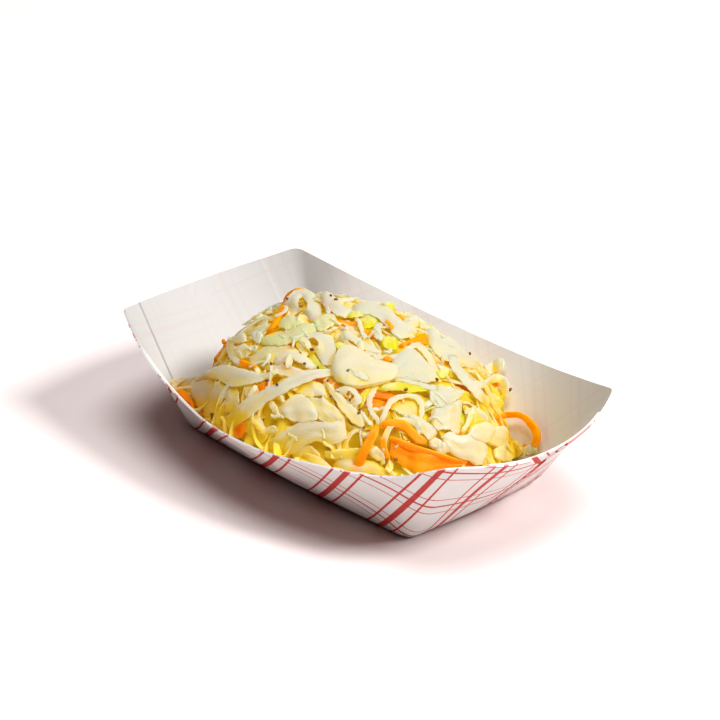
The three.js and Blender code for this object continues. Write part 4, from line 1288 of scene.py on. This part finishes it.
CUTS = {
    "shred": Cut((10, 26), (2.2, 4.6), (0.35, 0.5), (0.02, 0.11), standing=0.08),
    "thread": Cut((10, 26), (0.9, 1.7), (0.4, 0.6), (0.06, 0.2), standing=0.1, rows=20, columns=3),
    "leaf": Cut((9, 17), (5.0, 9.0), (0.4, 0.6), (0.0, 0.06), standing=0.05, rows=14, columns=7),
    "curl": Cut((17, 26), (2.2, 3.8), (0.5, 0.8), (0.2, 0.34), standing=1.0, rows=24),
    "green": Cut((7, 18), (2.2, 4.5), (0.4, 0.6), (0.0, 0.09), standing=0.15, rows=14),
    "carrot": Cut((10, 24), (1.5, 2.7), (1.1, 1.6), (0.0, 0.06), standing=0.0, cup=0.0, rows=16),
    "chip": Cut((1.6, 5.0), (0.8, 2.0), (0.45, 0.8), (0.0, 0.2), standing=0.3, rows=8, columns=4),
}
MIXTURE = {"shred": 0.56, "thread": 0.11, "leaf": 0.17, "curl": 0.05, "green": 0.055, "carrot": 0.055}
TOP_MIXTURE = {"thread": 0.75, "shred": 0.25}
# Random places of which a loose piece takes the emptiest.
PICKS = 34
# Where a loose piece is carried, as a share of its width to each side of its middle, and how
# far it is lifted off what stands up under it.
CARRIED = 0.42
LIFTED_OFF = 0.45
# How widely its height, its lean and its place are softened, as shares of its rows.
REST_SPREAD = 0.16
LEAN_SPREAD = 0.2
PLACE_SPREAD = 0.1
# In radians: its steepest lean, the roll of a standing piece, and the usual size of a lying
# one's roll, of its twist and of its sway.
STEEPEST = 0.9
STANDING_ROLL = (0.9, 1.45)
LYING_ROLL = 0.22
TWIST = 0.35
SWAY = 0.25
# How tall a piece rolled on edge counts, as a share of its width.
ROLLED = 0.36
# The sizes of the celery seeds and how far they lie above the slaw, in mm, and the usual size
# of their tilt.
SEED_SIZE = (0.9, 1.25)
SEED_RISE = 0.2
SEED_TILT = 0.3


def loose_piece(kind, place, pile, tray, draw):
    """A piece of this kind laid on the pile at a place.

    Its path turns evenly with a slight sway. It rests on the highest thing under it, softened
    by the shred's stiffness, leans with the slope across it, and rolls and twists a little.
    """
    cut = CUTS[kind]
    length, width, thick = (draw.uniform(*limits) for limits in (cut.length, cut.width, cut.thick))
    share = np.linspace(-0.5, 0.5, cut.rows)
    bend = draw.choice([-1, 1]) * draw.uniform(*cut.bend) * length
    sway = draw.normal(0, SWAY) * np.sin(2 * np.pi * share + draw.uniform(0, TURN))
    turn = draw.uniform(0, 2 * np.pi) + bend * share + sway
    step = length / (cut.rows - 1)
    x = np.cumsum(np.cos(turn)) * step
    y = np.cumsum(np.sin(turn)) * step
    x += place[0] - x.mean()
    y += place[1] - y.mean()
    ahead = np.stack([np.cos(turn), np.sin(turn)], -1)
    beside = np.stack([-ahead[:, 1], ahead[:, 0]], -1)
    reach = CARRIED * width
    spots = [(x + side * reach * beside[:, 0], y + side * reach * beside[:, 1]) for side in (-1, 0, 1)]
    heights = [pile.height(*spot) for spot in spots]
    under = np.max(heights, axis=0)
    rest = soften(under, REST_SPREAD * cut.rows)
    rest += LIFTED_OFF * np.maximum(under - rest, 0).max()
    lean = np.arctan(soften(heights[2] - heights[0], LEAN_SPREAD * cut.rows) / (2 * reach))
    stands = draw.random() < cut.standing
    way = draw.choice([-1, 1])
    roll = way * (draw.uniform(*STANDING_ROLL) if stands else abs(draw.normal(0, LYING_ROLL)))
    roll = roll + draw.normal(0, TWIST) * 2 * share
    tilt = np.clip(lean, -STEEPEST, STEEPEST) + roll
    tall = thick / 2 + ROLLED * width * np.abs(np.sin(roll))
    room = np.min([pile.room(*spot) for spot in spots], axis=0)
    rest = np.minimum(rest + tall, room - tall)
    centre = np.stack([x, y, soften(rest, PLACE_SPREAD * cut.rows)], -1)
    along = unit(np.gradient(centre, axis=0))
    side = unit(np.cross([0, 0, 1], along))
    rise = np.cross(along, side)
    across = side * np.cos(tilt)[:, None] + rise * np.sin(tilt)[:, None]
    outward = rise * np.cos(tilt)[:, None] - side * np.sin(tilt)[:, None]
    half = width / 2 * (0.82 + 0.18 * np.cos(np.pi * share) + 0.08 * np.sin(9 * share + bend))
    w = np.linspace(-1, 1, cut.columns)[None, :, None]
    cup = draw.normal(0, 1) * cut.cup * width * w**2
    ruffle = 0.05 * width * np.sin(14 * share + TURN * draw.random())[:, None, None] * w
    middle = centre[:, None] + across[:, None] * half[:, None, None] * w
    middle = keep_inside(middle + outward[:, None] * (cup + ruffle), tray)
    pile.add(middle, thick)
    return closed_slab(middle, thick, draw.beta(1.4, 2.9), draw.normal(0, 0.4))


def emptiest_place(pile, draw):
    """The place that is furthest below the height to fill up to, of some drawn at random."""
    columns, rows = np.nonzero(pile.inside)
    picks = draw.integers(0, len(columns), PICKS)
    cells = (columns[picks], rows[picks])
    shortage = (pile.goal - pile.top)[cells]
    best = shortage.argmax()
    return pile.x[cells][best], pile.y[cells][best]


def fill(parts, mixture, count, pile, tray, draw):
    """Adds this many loose pieces of mixed kinds, each at an empty place."""
    for kind in draw.choice(list(mixture), size=count, p=list(mixture.values())):
        place = emptiest_place(pile, draw)
        parts[kind].append(loose_piece(kind, place, pile, tray, draw))


def seed_body(point, heading, tilt, size):
    """An oval seed with low ribs: a grid whose two skins meet along its outline."""
    s, w = np.meshgrid(np.linspace(-1, 1, 7), np.linspace(-1, 1, 6), indexing="ij")
    width = 0.62 * np.sqrt(np.maximum(1 - 0.94 * s**2, 0))
    flat = np.stack([s, w * width, tilt * s + 0.05 * np.cos(6 * w)], -1) * size / 2
    cos, sin = np.cos(heading), np.sin(heading)
    turn = np.array([[cos, sin, 0], [-sin, cos, 0], [0, 0, 1]])
    return closed_slab(flat @ turn + point, 0.6 * size, 0.5, dome=True)


VIEW_SHEETS = {
    "view_leaf": LEAVES,
    "view_chunk": CHUNKS,
    "view_ring": RINGS,
    "view_green": GREENS,
    "view_carrot": CARROTS,
}


def seen_seeds(pile, tray):
    """Where the rays of the seeds that show first meet the slaw, or the far wall within its
    rim. A ray that meets neither drops out."""
    _, points = ray_points(np.array(SEED_PLACES, float))
    x, y, z = np.moveaxis(points, -1, 0)
    slaw = np.where(pile.inside[pile.cells(x, y)], pile.height(x, y), 0)
    within = np.abs(y) < side_rim(x / tray.corner_length, tray)[0] - SIDE_MARGIN
    hits = (z <= np.maximum(slaw, pile.far_wall(x, y))) & within
    return points[np.arange(len(hits)), hits.argmax(axis=1)][hits.any(axis=1)]


@functools.cache
def laid_heap():
    """All parts of the slaw by kind, laid down in one order from one source of draws: the
    placed pieces, the loose ones under them, threads on top, chips, and seeds."""
    tray, heap = in_millimetres("slaw_tray"), in_millimetres("slaw_heap")
    draw = np.random.default_rng(heap.seed)
    pile = Pile(heap, tray)
    parts = {kind: [] for kind in (*CUTS, *VIEW_SHEETS, "seed")}
    seen_sheets = []
    for kind, sheets in VIEW_SHEETS.items():
        for sheet in sheets:
            middle, part = view_sheet(sheet, heap, pile, tray, draw)
            parts[kind].append(part)
            seen_sheets.append((middle, sheet.thick))
    pile.roof_over(seen_sheets)
    fill(parts, MIXTURE, heap.loose, pile, tray, draw)
    for middle, thick in seen_sheets:
        pile.add(middle, thick)
    pile.roof = pile.mean + TOP_ROOF
    pile.goal = pile.mean - SLACK
    fill(parts, TOP_MIXTURE, heap.threads, pile, tray, draw)

    inside = np.argwhere(pile.inside)
    for pick in draw.integers(0, len(inside), heap.chips):
        cell = tuple(inside[pick])
        parts["chip"].append(loose_piece("chip", (pile.x[cell], pile.y[cell]), pile, tray, draw))
    cells = tuple(inside[draw.integers(0, len(inside), heap.seeds)].T)
    strewn = np.stack([pile.x[cells], pile.y[cells], pile.top[cells]], -1)
    for point in np.concatenate([seen_seeds(pile, tray), strewn]):
        size = draw.uniform(*SEED_SIZE)
        heading = draw.uniform(0, TURN / 2)
        tilt = draw.normal(0, SEED_TILT)
        parts["seed"].append(seed_body(point + (0, 0, SEED_RISE), heading, tilt, size))
    return SimpleNamespace(parts=parts, pile=pile)


# The core takes every second place of the pile's grid, where it is at least this thick in mm.
CORE_STRIDE = 2
CORE_LEAST = 0.05


def core_body(pile):
    """The heap's core: a grid of points over the tray's floor, its upper skin the core's
    bumpy top and its lower skin the floor, with both skins meeting where they run together."""
    x, y, floor, top = (grid[::CORE_STRIDE, ::CORE_STRIDE]
                        for grid in (pile.x, pile.y, pile.floor, pile.core))
    upper = np.stack([x, y, top], -1)
    lower = np.stack([x, y, floor], -1)
    number = np.arange(x.size).reshape(x.shape)
    filled = top > floor + CORE_LEAST
    cell = filled[:-1, :-1] & filled[1:, :-1] & filled[1:, 1:] & filled[:-1, 1:]
    corners = np.stack([number[:-1, :-1], number[1:, :-1], number[1:, 1:], number[:-1, 1:]], -1)
    skin = corners[cell]
    under = skin[:, ::-1] + x.size

    def open_edges(shift, axis, first, second):
        """Quads between the skins along the cells' edges that have no neighbour there."""
        border = cell & ~np.roll(cell, shift, axis=axis)
        a, b = corners[border][:, first], corners[border][:, second]
        return np.stack([b, a, a + x.size, b + x.size], -1)

    sides = ((1, 1, 0, 1), (-1, 0, 1, 2), (-1, 1, 2, 3), (1, 0, 3, 0))
    quads = np.concatenate([skin, under, *(open_edges(*side) for side in sides)])
    used, renumbered = np.unique(quads, return_inverse=True)
    points = np.concatenate([upper.reshape(-1, 3), lower.reshape(-1, 3)])[used]
    plain = np.zeros(len(points))
    return Part(points, renumbered.reshape(quads.shape), points[:, :2], plain, plain + 1)


# ---------------------------------------------------------------- shader maths

def opaque(rgb):
    """A colour with its alpha."""
    return (*rgb, 1.0)


class Value:
    """One output socket of a material. Sums, differences, products, remainders and sizes of
    it add Math nodes."""

    def __init__(self, nodes, socket):
        self.nodes = nodes
        self.socket = socket

    def math(self, operation, *others):
        """A Math node of this operation on this value and the others, in this order."""
        sockets = {index: other for index, other in enumerate((self, *others))}
        return self.nodes.add("ShaderNodeMath", {"operation": operation}, sockets)

    def __add__(self, other):
        return self.math("ADD", other)

    __radd__ = __add__

    def __sub__(self, other):
        return self.math("SUBTRACT", other)

    def __rsub__(self, other):
        return self.nodes.add("ShaderNodeMath", {"operation": "SUBTRACT"}, {0: other, 1: self})

    def __mul__(self, other):
        return self.math("MULTIPLY", other)

    __rmul__ = __mul__

    def __mod__(self, other):
        return self.math("FLOORED_MODULO", other)

    def __abs__(self):
        return self.math("ABSOLUTE")

    def ramp(self, start, end, low=0.0, high=1.0):
        """Low up to start, high from end on, and a smooth step between."""
        inputs = {"Value": self, "From Min": start, "From Max": end, "To Min": low, "To Max": high}
        return self.nodes.add("ShaderNodeMapRange", {"interpolation_type": "SMOOTHSTEP"}, inputs)


# Where most of the light comes from.
LIT_FROM = (0.35, 0.2, 0.915)


class Finish:
    """A material and its nodes."""

    def __init__(self, name):
        self.material = bpy.data.materials.new(name)
        self.material.use_nodes = True
        self.tree = self.material.node_tree
        self.tree.nodes.clear()

    def add(self, kind, settings=None, inputs=None, output=0):
        """Adds a node: its settings first, then the values or links of its sockets."""
        node = self.tree.nodes.new(kind)
        for key, value in (settings or {}).items():
            setattr(node, key, value)
        for key, value in (inputs or {}).items():
            if isinstance(value, Value):
                self.tree.links.new(value.socket, node.inputs[key])
            else:
                node.inputs[key].default_value = value
        return Value(self, node.outputs[output]) if len(node.outputs) else None

    def attribute(self, name):
        """A number stored on the piece's points."""
        return self.add("ShaderNodeAttribute", {"attribute_name": name}, output="Fac")

    def place(self):
        """The place on the object."""
        return self.add("ShaderNodeTexCoord", output="Object")

    def split(self, vector):
        """The three parts of a vector."""
        node = self.add("ShaderNodeSeparateXYZ", inputs={0: vector}).socket.node
        return [Value(self, output) for output in node.outputs]

    def facing_light(self):
        """How far the surface faces the place that the light comes from, from -1 to 1."""
        normal = self.add("ShaderNodeTexCoord", output="Normal")
        settings = {"operation": "DOT_PRODUCT"}
        return self.add("ShaderNodeVectorMath", settings, {0: normal, 1: LIT_FROM}, output="Value")

    def surface(self):
        """The place along and across the piece's own surface, in millimetres."""
        along, across, _ = self.split(self.add("ShaderNodeUVMap", {"uv_map": "surface"}))
        return along, across

    def noise(self, vector, scale, detail=3.0, roughness=0.55):
        """Cloudy noise from 0 to 1."""
        inputs = {"Vector": vector, "Scale": scale, "Detail": detail, "Roughness": roughness}
        return self.add("ShaderNodeTexNoise", inputs=inputs, output="Fac")

    def vector(self, x, y, z):
        """A vector from three values."""
        return self.add("ShaderNodeCombineXYZ", inputs={0: x, 1: y, 2: z})

    def blend(self, share, first, second, mode="MIX"):
        """From the first colour to the second by this share."""
        settings = {"data_type": "RGBA", "blend_type": mode}
        return self.add("ShaderNodeMix", settings, {0: share, 6: first, 7: second}, output=2)

    def bump(self, height, distance, strength=1.0):
        """A normal from relief of this height in metres."""
        inputs = {"Height": height, "Distance": distance, "Strength": strength}
        return self.add("ShaderNodeBump", inputs=inputs)

    def close(self, inputs, through=None, share=0.0):
        """Ends the material with a Principled shader. Where a colour for the light that
        passes through is given, a share of the surface is translucent in that colour."""
        shader = self.add("ShaderNodeBsdfPrincipled", inputs=inputs)
        if through:
            clear = self.add("ShaderNodeBsdfTranslucent", inputs={"Color": through})
            shader = self.add("ShaderNodeMixShader", inputs={0: share, 1: shader, 2: clear})
        self.add("ShaderNodeOutputMaterial", inputs={"Surface": shader})
        return self.material


# Spacing of the printed bands on the sheet, the middle of the first band, and its lines as
# pairs of offset and width, all in mm. One set of bands leans each way.
BAND_SPACING = (16.9, 17.0)
BAND_START = (-22.5, 0.0)
BAND_LINES = (
    ((-3.4, 0.62), (0.0, 1.55), (3.4, 0.62)),
    ((-3.4, 0.34), (0.0, 0.72), (3.4, 0.34)),
)
# Half the width of a line's soft edge and the size of its roughness, in mm, the least that
# shows between two prints, and the turn of the bias.
LINE_SOFTNESS = 0.09
LINE_ROUGHNESS = 0.16
LEAST_CLEAR = 0.02
BIAS = 0.7071
# How well the ink covers, how much the fibre changes that, and the share of the print that
# the inside hides; the rest shows inside as painted show-through of light from behind the walls.
INK_COVER = 0.97
INK_FIBRE = 0.1
PRINT_HIDDEN = 0.955
# The factors on the paper in its clouds and on the inside, and the depth of its relief in
# metres.
CLOUD_SHADE = 0.965
INNER_SHADE = 0.88
FINE_RELIEF = 0.00004

# Painted shade: the inside grows greyer towards the left end, whose wall faces the key light
# and would otherwise glare as white as the lit floor: the factor at the end, and the places
# along the tray where the change is complete and where it starts, in metres.
PAINTED_END_SHADE = 0.68
PAINTED_END_FADE = (-0.056, -0.043)


def paperboard(name):
    """White board: bands of red lines on the bias outside, faint inside as painted show-through of back
    light, fine fibre, and painted shade inside the left end.
    """
    tray = bpy.context.scene.slaw_tray
    base_edge = tray.base_width / MM
    finish = Finish(name)
    x, y = finish.surface()
    place = finish.place()
    fibre = finish.noise(place, 900.0, 4.0, 0.65)
    cloud = finish.noise(place, 45.0)
    rough_edge = (finish.noise(place, 1400.0, 2.0) - 0.5) * LINE_ROUGHNESS
    leans = ((x + y + base_edge) * -BIAS, (x - y - base_edge) * BIAS)
    clear = None
    for lean, spacing, start, lines in zip(leans, BAND_SPACING, BAND_START, BAND_LINES):
        offset = (lean - start + spacing / 2) % spacing - spacing / 2
        for middle, width in lines:
            distance = abs(offset - middle) + rough_edge
            gap = distance.ramp(width / 2 - LINE_SOFTNESS, width / 2 + LINE_SOFTNESS, LEAST_CLEAR)
            clear = gap if clear is None else clear * gap
    inside = finish.attribute("inside")
    # The inside keeps a faint copy of the print: painted show-through of light from behind.
    cover = (1 - clear) * (INK_COVER + INK_FIBRE * (fibre - 0.5)) * (1 - inside * PRINT_HIDDEN)
    cloudy, pale, painted_grey = (opaque([channel * factor for channel in tray.paper])
                          for factor in (CLOUD_SHADE, INNER_SHADE, INNER_SHADE * PAINTED_END_SHADE))
    white = finish.blend(cloud.ramp(0.3, 0.7), opaque(tray.paper), cloudy)
    # Painted shade: the inside greys towards the left end.
    inner = finish.blend(finish.split(place)[0].ramp(*PAINTED_END_FADE), painted_grey, pale)
    white = finish.blend(inside, white, inner)
    base = finish.blend(cover, white, opaque(tray.ink))
    relief = fibre * 0.6 + cloud
    return finish.close({
        "Base Color": base,
        "Roughness": 0.5 + 0.2 * fibre,
        "Specular IOR Level": 0.35,
        "Normal": finish.bump(relief, FINE_RELIEF, 0.6),
    })


# The colour of the light that comes through a thin piece, and the share that does.
THROUGH_CABBAGE = (0.95, 0.92, 0.74)
THROUGH_GREEN = (0.90, 0.92, 0.15)
THROUGH_CARROT = (1.0, 0.72, 0.01)
THROUGH_SHARE = 0.5

# Painted shade: the factor on colours low at the left end, where the heap's flank faces away
# from the key light, and the places along the tray and the heights between which it fades out,
# in metres.
LEFT_FLANK_SHADE = (0.70, 0.55, 0.42)
LEFT_FLANK_SHADE_X = (-0.028, 0.004)
LEFT_FLANK_SHADE_Z = (0.021, 0.032)

# A faint glow that stands in for the light many thin wet layers pass on to each other.
GLOW = 0.075

# What the strength of the colour adds up from: the piece's tone, its veins, painted shade where
# the pile hides it, and less of it on the lit side and at the cut edge as painted light, and on
# the left flank, whose painted shade browns it instead.
BY_TONE = 0.8
BY_VEINS = 1.8
BY_CREVICE_SHADE = 1.3
BY_LIGHT = 0.15
BY_EDGE_HIGHLIGHT = 0.4
BY_LEFT_FLANK_SHADE = 0.7
# The strengths between which the colour goes from pale to strong, and how far the pile hides
# a place for it to start on the deep colour, a painted crevice shade, and to reach it.
PALE_TO_STRONG = (0.15, 1.1)
TO_CREVICE_SHADE = (0.22, 0.58)


def wet_vegetable(name, pale, strong, deep, through, relief=0.14, gloss=0.4, variety=1.2):
    """Wet cut vegetable: from pale to strong by each piece's tone and its own clouds, with painted
    shade deeper golden where the pile hides it from the sky and browner low at the left end,
    paler as painted light on the side facing the light and at the cut edges, and with fine
    streaks along the piece and a wet coat."""
    finish = Finish(name)
    tone = finish.attribute("tone")
    hidden = finish.attribute("depth")
    number = finish.attribute("number")
    border = finish.attribute("border")
    along, across = finish.surface()
    place = finish.place()
    x, _, z = finish.split(place)
    veins = finish.noise(finish.vector(along * 0.09 + number * 3.7, across * 1.3, number * 1.3), 1.0)
    folds = finish.noise(finish.vector(along * 0.16, across * 0.4, number * 2.1), 1.0, 2.0)
    cloud = finish.noise(place, 210.0)
    fine = finish.noise(place, 1300.0, 2.0)
    facing_light = finish.facing_light()
    share = tone * BY_TONE + (cloud - 0.5) * variety + (veins - 0.5) * BY_VEINS + hidden * BY_CREVICE_SHADE
    share = share + facing_light.ramp(-0.1, 0.8, BY_LIGHT, -BY_LIGHT)
    # Painted shade: browner low at the left end, on the flank turned from the key light.
    left_flank_shade = x.ramp(*LEFT_FLANK_SHADE_X, 1.0, 0.0) * z.ramp(*LEFT_FLANK_SHADE_Z, 1.0, 0.0)
    # Painted highlight: paler along the cut edges, which catch the light.
    share = share - border.ramp(0.3, 1.0, 0.0, BY_EDGE_HIGHLIGHT) - left_flank_shade * BY_LEFT_FLANK_SHADE
    base = finish.blend(share.ramp(*PALE_TO_STRONG), opaque(pale), opaque(strong))
    # Painted shade: where the pile hides it from the sky the colour turns deep golden.
    covered = (hidden + (cloud - 0.5) * 0.3 * hidden).ramp(*TO_CREVICE_SHADE)
    base = finish.blend(covered, base, opaque(deep))
    base = finish.blend(left_flank_shade, base, opaque(LEFT_FLANK_SHADE), mode="MULTIPLY")
    skin = veins * 0.8 + folds * 0.5 + cloud * 0.4 + fine * 0.16
    inputs = {
        "Base Color": base,
        "Roughness": gloss + 0.2 * (veins - 0.5),
        "Subsurface Weight": 0.8,
        "Subsurface Radius": (1.0, 0.95, 0.8),
        "Subsurface Scale": 0.0018,
        "Specular IOR Level": 0.35,
        "Coat Weight": 0.1,
        "Coat Roughness": 0.2,
        "Emission Color": base,
        "Emission Strength": GLOW,
        "Normal": finish.bump(skin, relief * MM),
    }
    return finish.close(inputs, through=opaque(through), share=THROUGH_SHARE)


@functools.cache
def finishes():
    """The materials of the slaw, by name."""
    food = bpy.context.scene.slaw_food
    return {
        "cabbage": wet_vegetable("cabbage", food.cabbage, food.ripe, food.deep, THROUGH_CABBAGE),
        "core": wet_vegetable("slaw core", food.ripe, food.deep, food.deep, THROUGH_CABBAGE,
                              relief=1.5, gloss=0.5),
        "green": wet_vegetable("green cabbage", food.green, food.leaf, food.leaf, THROUGH_GREEN,
                               variety=1.8),
        "carrot": wet_vegetable("carrot", food.carrot, food.core, food.core, THROUGH_CARROT,
                                relief=0.12, gloss=0.55, variety=0.5),
        "seed": seed_skin("celery seed", food.seed),
    }


def seed_skin(name, colour):
    """Matt brown seed skin, lighter along its ribs."""
    finish = Finish(name)
    _, across = finish.surface()
    ribs = (across * 14.0).math("SINE")
    lighter = opaque([0.5 * channel + 0.12 for channel in colour])
    base = finish.blend(ribs.ramp(0.2, 1.0, 0.0, 0.5), opaque(colour), lighter)
    return finish.close({"Base Color": base, "Roughness": 0.6, "Specular IOR Level": 0.2,
                         "Normal": finish.bump(ribs, FINE_RELIEF, 0.5)})


# ---------------------------------------------------------------- operators

# The lamps' names, their places and their widths in metres, the colour of the light all
# round, and the floor's half width in metres.
LIGHTS = (
    ("key", (1.7, 1.0, 1.9), 0.85),
    ("top", (0.05, 0.12, 2.2), 1.6),
)
SKY = (1.0, 0.45, 0.4)
FLOOR = 6.0


class SLAW_OT_stage(bpy.types.Operator):
    """Makes the camera, the floor, the lights and the world."""

    bl_idname = "slaw.stage"
    bl_label = "Stage"

    def execute(self, context):
        scene = context.scene
        stage = scene.slaw_stage
        right, up, back = view_axes()
        camera = bpy.data.cameras.new("camera")
        camera.lens = LENS
        camera.sensor_width = SENSOR
        camera.sensor_fit = "HORIZONTAL"
        camera.clip_start = 0.05
        viewer = bpy.data.objects.new("camera", camera)
        eye = (np.array(AIM) + back * DISTANCE) * MM
        turned = np.eye(4)
        turned[:3] = np.stack([right, up, back, eye], -1)
        viewer.matrix_world = Matrix(turned.tolist())
        scene.collection.objects.link(viewer)
        scene.camera = viewer

        floor = self.floor(scene, stage)
        for name, place, size in LIGHTS:
            self.light(scene, name, getattr(stage, name), place, size)
        world = bpy.data.worlds.new("studio")
        world.use_nodes = True
        background = world.node_tree.nodes["Background"]
        background.inputs["Color"].default_value = opaque(SKY)
        background.inputs["Strength"].default_value = stage.fill
        scene.world = world
        scene.view_settings.view_transform = "Standard"
        scene.view_settings.look = "Medium High Contrast"
        return {"FINISHED"}

    def floor(self, scene, stage):
        """A wide matt floor."""
        finish = Finish("floor")
        material = finish.close({"Base Color": opaque(stage.floor), "Roughness": 0.9,
                                 "Specular IOR Level": 0.1})
        mesh = bpy.data.meshes.new("floor")
        corners = [(-FLOOR, -FLOOR, 0), (FLOOR, -FLOOR, 0), (FLOOR, FLOOR, 0), (-FLOOR, FLOOR, 0)]
        mesh.from_pydata(corners, [], [(0, 1, 2, 3)])
        mesh.materials.append(material)
        floor = bpy.data.objects.new("floor", mesh)
        scene.collection.objects.link(floor)
        return floor

    def light(self, scene, name, power, place, size):
        """A round area light turned to the object."""
        lamp = bpy.data.lights.new(name, "AREA")
        lamp.shape = "DISK"
        lamp.size = size
        lamp.energy = power
        holder = bpy.data.objects.new(name, lamp)
        toward = -np.array(place) / np.linalg.norm(place)
        side = unit(np.cross(toward, (0, 0, 1)))
        turned = np.eye(4)
        turned[:3] = np.stack([side, np.cross(side, toward), -toward, place], -1)
        holder.matrix_world = Matrix(turned.tolist())
        scene.collection.objects.link(holder)


class SLAW_OT_tray(bpy.types.Operator):
    """Makes the folded paperboard tray."""

    bl_idname = "slaw.tray"
    bl_label = "Tray"

    def execute(self, context):
        points, faces, uv, inside = tray_shell(in_millimetres("slaw_tray"))
        material = paperboard("paperboard")
        piece = mesh_object("paper_tray", points, faces, uv, {"inside": inside}, material)
        piece.data.set_sharp_from_angle(angle=CRISP_TRAY)
        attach(piece, "root")
        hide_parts("tray")
        return {"FINISHED"}


class SLAW_OT_core(bpy.types.Operator):
    """Makes the core that fills the heap under its loose pieces."""

    bl_idname = "slaw.core"
    bl_label = "Core"

    def execute(self, context):
        joined_parts("slaw_core", [core_body(laid_heap().pile)], finishes()["core"])
        return {"FINISHED"}


class SLAW_OT_cabbage(bpy.types.Operator):
    """Makes the shreds, leaves, curls and chunks of white cabbage."""

    bl_idname = "slaw.cabbage"
    bl_label = "Cabbage"

    def execute(self, context):
        parts = laid_heap().parts
        pieces = {
            "cabbage_shreds": parts["shred"],
            "cabbage_threads": parts["thread"],
            "cabbage_curls": parts["curl"] + parts["view_ring"],
            "cabbage_leaves": parts["leaf"] + parts["view_leaf"],
            "rib_chunks": parts["view_chunk"],
            "cabbage_chips": parts["chip"],
        }
        for name, members in pieces.items():
            joined_parts(name, members, finishes()["cabbage"])
        return {"FINISHED"}


class SLAW_OT_green(bpy.types.Operator):
    """Makes the strips of green outer leaf."""

    bl_idname = "slaw.green"
    bl_label = "Green strips"

    def execute(self, context):
        parts = laid_heap().parts
        strips = parts["green"] + parts["view_green"]
        joined_parts("green_strips", strips, finishes()["green"])
        return {"FINISHED"}


class SLAW_OT_carrot(bpy.types.Operator):
    """Makes the strips and slices of carrot."""

    bl_idname = "slaw.carrot"
    bl_label = "Carrot strips"

    def execute(self, context):
        parts = laid_heap().parts
        strips = parts["carrot"] + parts["view_carrot"]
        joined_parts("carrot_strips", strips, finishes()["carrot"])
        return {"FINISHED"}


class SLAW_OT_seeds(bpy.types.Operator):
    """Makes the celery seeds."""

    bl_idname = "slaw.seeds"
    bl_label = "Celery seeds"

    def execute(self, context):
        joined_parts("celery_seeds", laid_heap().parts["seed"], finishes()["seed"])
        return {"FINISHED"}


OPERATORS = (
    SLAW_OT_stage,
    SLAW_OT_tray,
    SLAW_OT_core,
    SLAW_OT_cabbage,
    SLAW_OT_green,
    SLAW_OT_carrot,
    SLAW_OT_seeds,
)


class SLAW_PT_panel(bpy.types.Panel):
    """Lists the settings and the pieces."""

    bl_idname = "SLAW_PT_panel"
    bl_label = "Coleslaw"
    bl_space_type = "VIEW_3D"
    bl_region_type = "UI"
    bl_category = "Slaw"

    def draw(self, context):
        layout = self.layout
        for name, kind in SETTINGS.items():
            box = layout.box()
            box.label(text=kind.__doc__)
            for key in kind.__annotations__:
                box.prop(getattr(context.scene, name), key)
        for operator in OPERATORS:
            layout.operator(operator.bl_idname)


CLASSES = (*SETTINGS.values(), *OPERATORS, SLAW_PT_panel)


def register():
    """Registers the classes and puts the settings on the scene."""
    for kind in CLASSES:
        bpy.utils.register_class(kind)
    for name, kind in SETTINGS.items():
        setattr(bpy.types.Scene, name, PointerProperty(type=kind))


def unregister():
    """Takes the settings off the scene and the classes out again."""
    for name in SETTINGS:
        delattr(bpy.types.Scene, name)
    for kind in reversed(CLASSES):
        bpy.utils.unregister_class(kind)


def main():
    """Builds the whole scene."""
    register()
    bpy.ops.slaw.stage()
    bpy.ops.slaw.tray()
    bpy.ops.slaw.core()
    bpy.ops.slaw.cabbage()
    bpy.ops.slaw.green()
    bpy.ops.slaw.carrot()
    bpy.ops.slaw.seeds()


if __name__ == "__main__":
    main()
